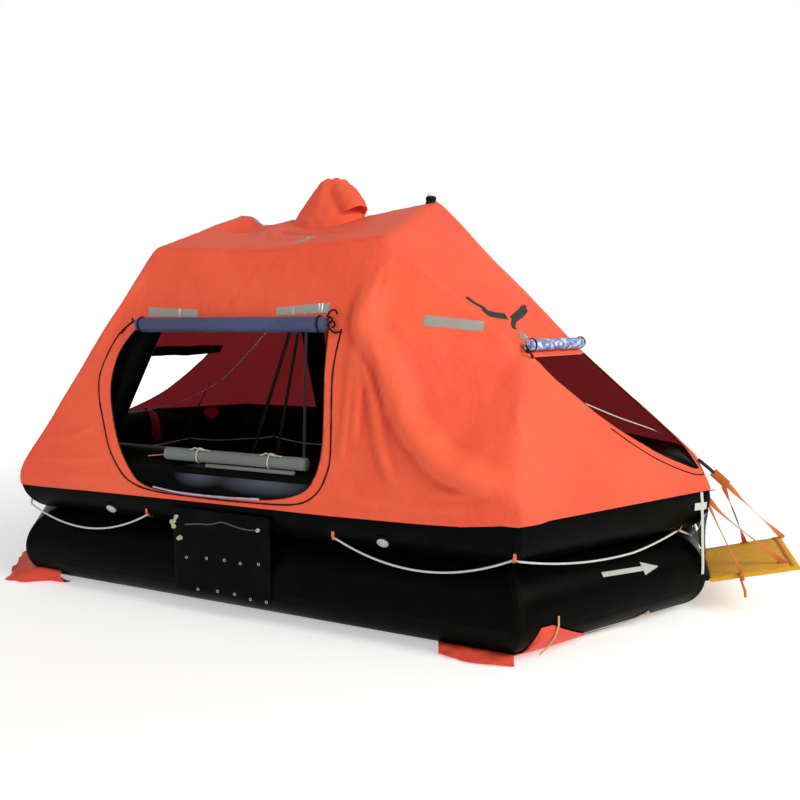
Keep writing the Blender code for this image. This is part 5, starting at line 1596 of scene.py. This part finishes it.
work = bmesh.new()
us, ws = eased(RAMP_FROM, RAMP_TO, 34, RAMP_EDGE), eased(-RAMP_HALF, RAMP_HALF, 40, RAMP_EDGE)
tops, lows = [], []
for u in us:
    top_row, low_row = [], []
    for w in ws:
        edge = min(u - RAMP_FROM, RAMP_TO - u, RAMP_HALF - abs(w))
        round_off = sqrt(max(0.0, 1 - max(0.0, 1 - edge / RAMP_EDGE) ** 2))
        hem = 0.0042 * max(0.0, 1 - abs(u - 0.388) / 0.010)
        puff = 0.0016 * noise.noise(Vector((u * 11, w * 9, 2.0)))
        puff += 0.0009 * noise.noise(Vector((u * 40, w * 34, 5.0)))
        half = (RAMP_EDGE - 0.0016 - hem + puff) * round_off
        if edge < 1e-6:
            top_row.append(work.verts.new(on_ramp(u, 0, w)))
            low_row.append(top_row[-1])
        else:
            top_row.append(work.verts.new(on_ramp(u, half, w)))
            low_row.append(work.verts.new(on_ramp(u, -half, w)))
    tops.append(top_row)
    lows.append(low_row)
for grid in (tops, lows):
    quads(work, grid)
dress(finish_mesh("boarding_ramp_cloth", work, ramp_yellow), "ramp_cloth", "boarding_ramp", body="ramp")

webbing_orange = cloth_material("webbing_orange", (0.50, 0.105, 0.022), (0.58, 0.20, 0.06), 0.62, 0.001)
STAYS = [("stay_far_outer", [(2.502, 0.004, 0.688), (2.680, 0.118, 0.503), (2.852, 0.238, 0.334)], 0.030),
         ("stay_far_inner", [(2.488, 0.004, 0.672), (2.572, 0.120, 0.478), (2.650, 0.245, 0.280)], 0.025),
         ("stay_near_outer", [(2.398, -0.030, 0.610), (2.500, -0.072, 0.510), (2.780, -0.185, 0.318)], 0.028),
         ("stay_near_inner", [(2.398, -0.060, 0.595), (2.480, -0.145, 0.425), (2.571, -0.248, 0.256)], 0.016)]
for name, route, width in STAYS:
    work = bmesh.new()
    route = dense(smooth_route(route), 0.02)
    flat = []
    for k, q in enumerate(route):
        lean = sin(pi * k / (len(route) - 1))
        flat.append((q, Vector((0.6 * lean, lean - 1, 0.8 * lean)).normalized()))
    ribbon(work, flat, width, 0.0022, -0.0011, 0.10)
    stay = finish_mesh(name, work, webbing_orange)
    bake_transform(stay)
work = bmesh.new()
ribbon(work, facing([(2.428, 0.0, 0.753), (2.506, 0.0, 0.683)], (0.0, -1.0, 0.0)), 0.050, 0.0030)
ribbon(work, facing([(2.4045, -0.030, 0.690), (2.4045, -0.040, 0.600)], (1.0, 0.0, 0.2)), 0.040, 0.0025)
ribbon(work, facing([(2.403, -0.02, 0.640), (2.445, -0.01, 0.650)], (0.3, 0.0, 1.0), 0.01), 0.012, 0.0020)
dress(finish_mesh("stay_tabs", work, webbing_orange), "ramp_cloth")
work = bmesh.new()
ribbon(work, facing([(2.345, 0.0, 0.822), (2.400, 0.0, 0.778), (2.436, 0.0, 0.746)], (0.0, -1.0, 0.0)),
       0.020, 0.0034)
dress(finish_mesh("stay_hanger", work, strap_black), "ramp_cloth")
work = bmesh.new()
ramp_up = on_ramp(0, 1, 0) - on_ramp(0, 0, 0)
for u, w in ((0.405, 0.235), (0.232, 0.240), (0.365, -0.175)):
    ribbon(work, [(on_ramp(u + s, 0.0140, w), ramp_up) for s in (-0.022, 0.0, 0.022)], 0.030, 0.0030)
ribbon(work, [(on_ramp(0.402, 0.0140, w), ramp_up) for w in (-0.235, -0.08, 0.08, 0.235)], 0.012, 0.0020)
knot = on_ramp(0.138, 0.0, -0.262)
sweep(work, coil(knot + Vector((0, -0.006, 0.008)), (0.5, 0.1, 0.85), 0.0085, 2.4, 0.5), 0.0060, 8)
sweep(work, coil(knot + Vector((0.006, -0.006, -0.006)), (0.9, 0.1, 0.2), 0.0085, 1.7, 0.5), 0.0058, 8)
tail = [knot + Vector(p) for p in ((0.002, -0.008, -0.006), (0.014, -0.010, -0.040), (0.026, -0.010, -0.072),
                                   (0.030, -0.010, -0.108))]
ribbon(work, facing(smooth_route(tail), (0.2, -1.0, 0.1), 0.008), 0.013, 0.0030, 0, 0.3)
dress(finish_mesh("ramp_webbing", work, webbing_orange), "ramp_cloth", body="ramp")
flange = bpy.data.objects["ramp_flange"]
flange_rubber = rubber("flange_rubber", (0.0050, 0.0055, 0.0050), (0.024, 0.025, 0.021), 0.35, 0.42, 0.58, 0.004)
for slot_ in flange.material_slots:
    slot_.material = flange_rubber

# Inside, seen through the openings: the lower half of the front door cloth rolled up on the
# tube, its batten, the hanging straps and lines, and red patches on the far tube.
CURTAIN_FROM, CURTAIN_TO, CURTAIN_PLACE, CURTAIN_R = -0.487, 0.403, (-1.165, 0.8775), 0.036
curtain_grey = cloth_material("curtain_cloth", (0.125, 0.140, 0.135), (0.190, 0.205, 0.195), 0.55, 0.006)
route = dense([(CURTAIN_FROM, *CURTAIN_PLACE), (CURTAIN_TO, *CURTAIN_PLACE)], 0.010)


def curtain_radius(share, turn):
    along = share * (CURTAIN_TO - CURTAIN_FROM)
    tied = sum(max(0.0, 1 - abs(along - tie) / 0.030) ** 2 for tie in (0.218, 0.672))
    wrap = (turn / (2 * pi) + 0.15) % 1.0
    size = CURTAIN_R * (0.94 + 0.055 * wrap) - 0.0040 * tied
    return min(CURTAIN_R, size + 0.0012 * noise.noise(Vector((along * 8, cos(turn), sin(turn)))))


work = bmesh.new()
sweep(work, route, curtain_radius, 32)
dress(finish_mesh("curtain_roll_cloth", work, curtain_grey), "curtain_cloth", "curtain_roll")
tie_pale = cloth_material("tie_tape", (0.50, 0.45, 0.36), (0.56, 0.52, 0.43), 0.6, 0.001)
work = bmesh.new()
for tie in (0.218, 0.672):
    centre = Vector((CURTAIN_FROM + tie, *CURTAIN_PLACE))
    sweep(work, coil(centre, (1, 0, 0), CURTAIN_R + 0.0005, 1.2, 0.2, 18), 0.0032, 6)
    for sway in (-1, 1, 0.4):
        top = centre + Vector((0, -0.010, CURTAIN_R))
        sweep(work, smooth_route([top, top + Vector((0.018 * sway, -0.004, 0.010)),
                                  top + Vector((0.042 * sway + 0.01, -0.008, 0.002)),
                                  top + Vector((0.066 * sway + 0.02, -0.014, 0.001))]), 0.0028, 6)
dress(finish_mesh("curtain_ties", work, tie_pale), "curtain_cloth")
batten_grey = rubber("batten_plastic", (0.150, 0.150, 0.140), (0.22, 0.22, 0.20), 0.5, 0.30, 0.42, 0.001)
work = bmesh.new()
ends_of = [(x, -1.187, 0.8312) for x in (-0.210, -0.207, 0.342, 0.345)]
sweep(work, ends_of, lambda share, turn: 0.011 if 0.003 < share < 0.997 else 0.0085, 20)
dress(finish_mesh("curtain_batten_rod", work, batten_grey), "batten_plastic", "curtain_batten")

strap_dark = cloth_material("hanging_strap", (0.020, 0.018, 0.018), (0.045, 0.042, 0.040), 0.65, 0.001)
strap_light = cloth_material("hanging_strap_light", (0.115, 0.118, 0.110), (0.16, 0.16, 0.15), 0.65, 0.001)
dark, light = bmesh.new(), bmesh.new()
for work, top, foot, width in ((dark, (-0.085, 0.0, 2.285), (-0.900, 0.0, 0.118), 0.026),
                               (dark, (-0.130, 0.0, 2.285), (-0.607, 0.0, 0.118), 0.024),
                               (light, (-0.200, 0.0, 2.285), (-0.283, 0.0, 0.118), 0.022)):
    ribbon(work, facing([top, foot], (0.25, -0.97, 0.0), 0.05), width, 0.0020)
ribbon(dark, facing([(-1.117, 0.02, 1.105), (-1.741, 0.02, 0.118)], (0.0, -0.9, 0.3), 0.05), 0.010, 0.0018)
dress(finish_mesh("hanging_straps_dark", dark, strap_dark), "canopy_cloth")
dress(finish_mesh("hanging_strap_light", light, strap_light), "canopy_cloth")
rope_old = cloth_material("old_rope", (0.62, 0.58, 0.52), (0.70, 0.67, 0.60), 0.7, 0.0015)
inside_line = smooth_route([(-2.120, 0.0, 0.884), (-1.900, 0.0, 0.898), (-1.682, 0.0, 0.931), (-1.320, 0.0, 1.018),
                            (-1.002, 0.0, 1.169), (-0.863, 0.0, 1.271), (-0.572, 0.0, 1.541), (-0.170, 0.0, 1.960),
                            (0.080, 0.0, 2.285)])
dress(lay_rope("ridge_line", [tuple(q) for q in inside_line], 0.0050, rope_old), "canopy_cloth")
end_line = smooth_route([(1.730, -0.560, 1.190), (1.900, -0.250, 1.080), (2.080, 0.080, 0.975), (2.225, 0.345, 0.880)])
dress(lay_rope("end_line", [tuple(q) for q in end_line], 0.0045, rope_white), "canopy_cloth")

red_patch = rubber("red_patch", (0.27, 0.022, 0.030), (0.20, 0.030, 0.035), 0.4, 0.45, 0.60, 0.001)
work = bmesh.new()
disc = [radians(a) for a in (-88, -70, -50, -30, -10, 10, 30, 50, 70, 88)]
for index in (5, 1):
    tube_strip(work, index, UPPER_Z, [(0.324 + 0.075 * sin(a), 126 - 19 * cos(a), 126 + 19 * cos(a)) for a in disc],
               0.0016)
    tube_strip(work, index, UPPER_Z, [(0.835, 115, 186), (0.870, 112, 186), (0.905, 115, 186)], 0.0030)
dress(finish_mesh("red_patches", work, red_patch), "tube_rubber")
work = bmesh.new()
for index in (5, 1):
    ribbon(work, [on_tube(index, 0.900, lift, turn, UPPER_Z) for turn, lift in (
        (112, 0.002), (105, 0.020), (112, 0.045), (128, 0.050), (145, 0.030), (160, 0.006), (176, 0.004))],
           0.036, 0.0025)
dress(finish_mesh("red_loops", work, red_patch), "tube_rubber")
work = bmesh.new()
ribbon(work, facing([(-0.640, -1.150, 0.8480), (-0.484, -1.165, 0.8720)], (0, -0.3, 1.0), 0.03), 0.012, 0.0020)
dress(finish_mesh("curtain_pull", work, becket_orange), "curtain_cloth")

# The valance: a strip of black cloth sewn along the top of the left end's opening, which
# hangs a hand's breadth inside it.
work = bmesh.new()
tops = [Vector((-q.x + 0.030, -q.y, q.z - 0.060)) for q in dense(end_roll, 0.03)]
rows = []
for k in range(6):
    drop = 0.075 * k / 5
    rows.append([(p.x + 0.02 * k / 5 - 0.004 * noise.noise(p * 9), p.y * (1 - 0.10 * k / 5),
                  p.z - drop * (0.7 + 0.3 * min(1.0, (0.68 - abs(p.y)) / 0.2)) + 0.006 * noise.noise(p * 7))
                 for p in tops])
add_grid(work, rows)
valance = thicken(finish_mesh("end_valance", work, edge_binding), 0.0020, 0.0)
dress(valance, "canopy_cloth")
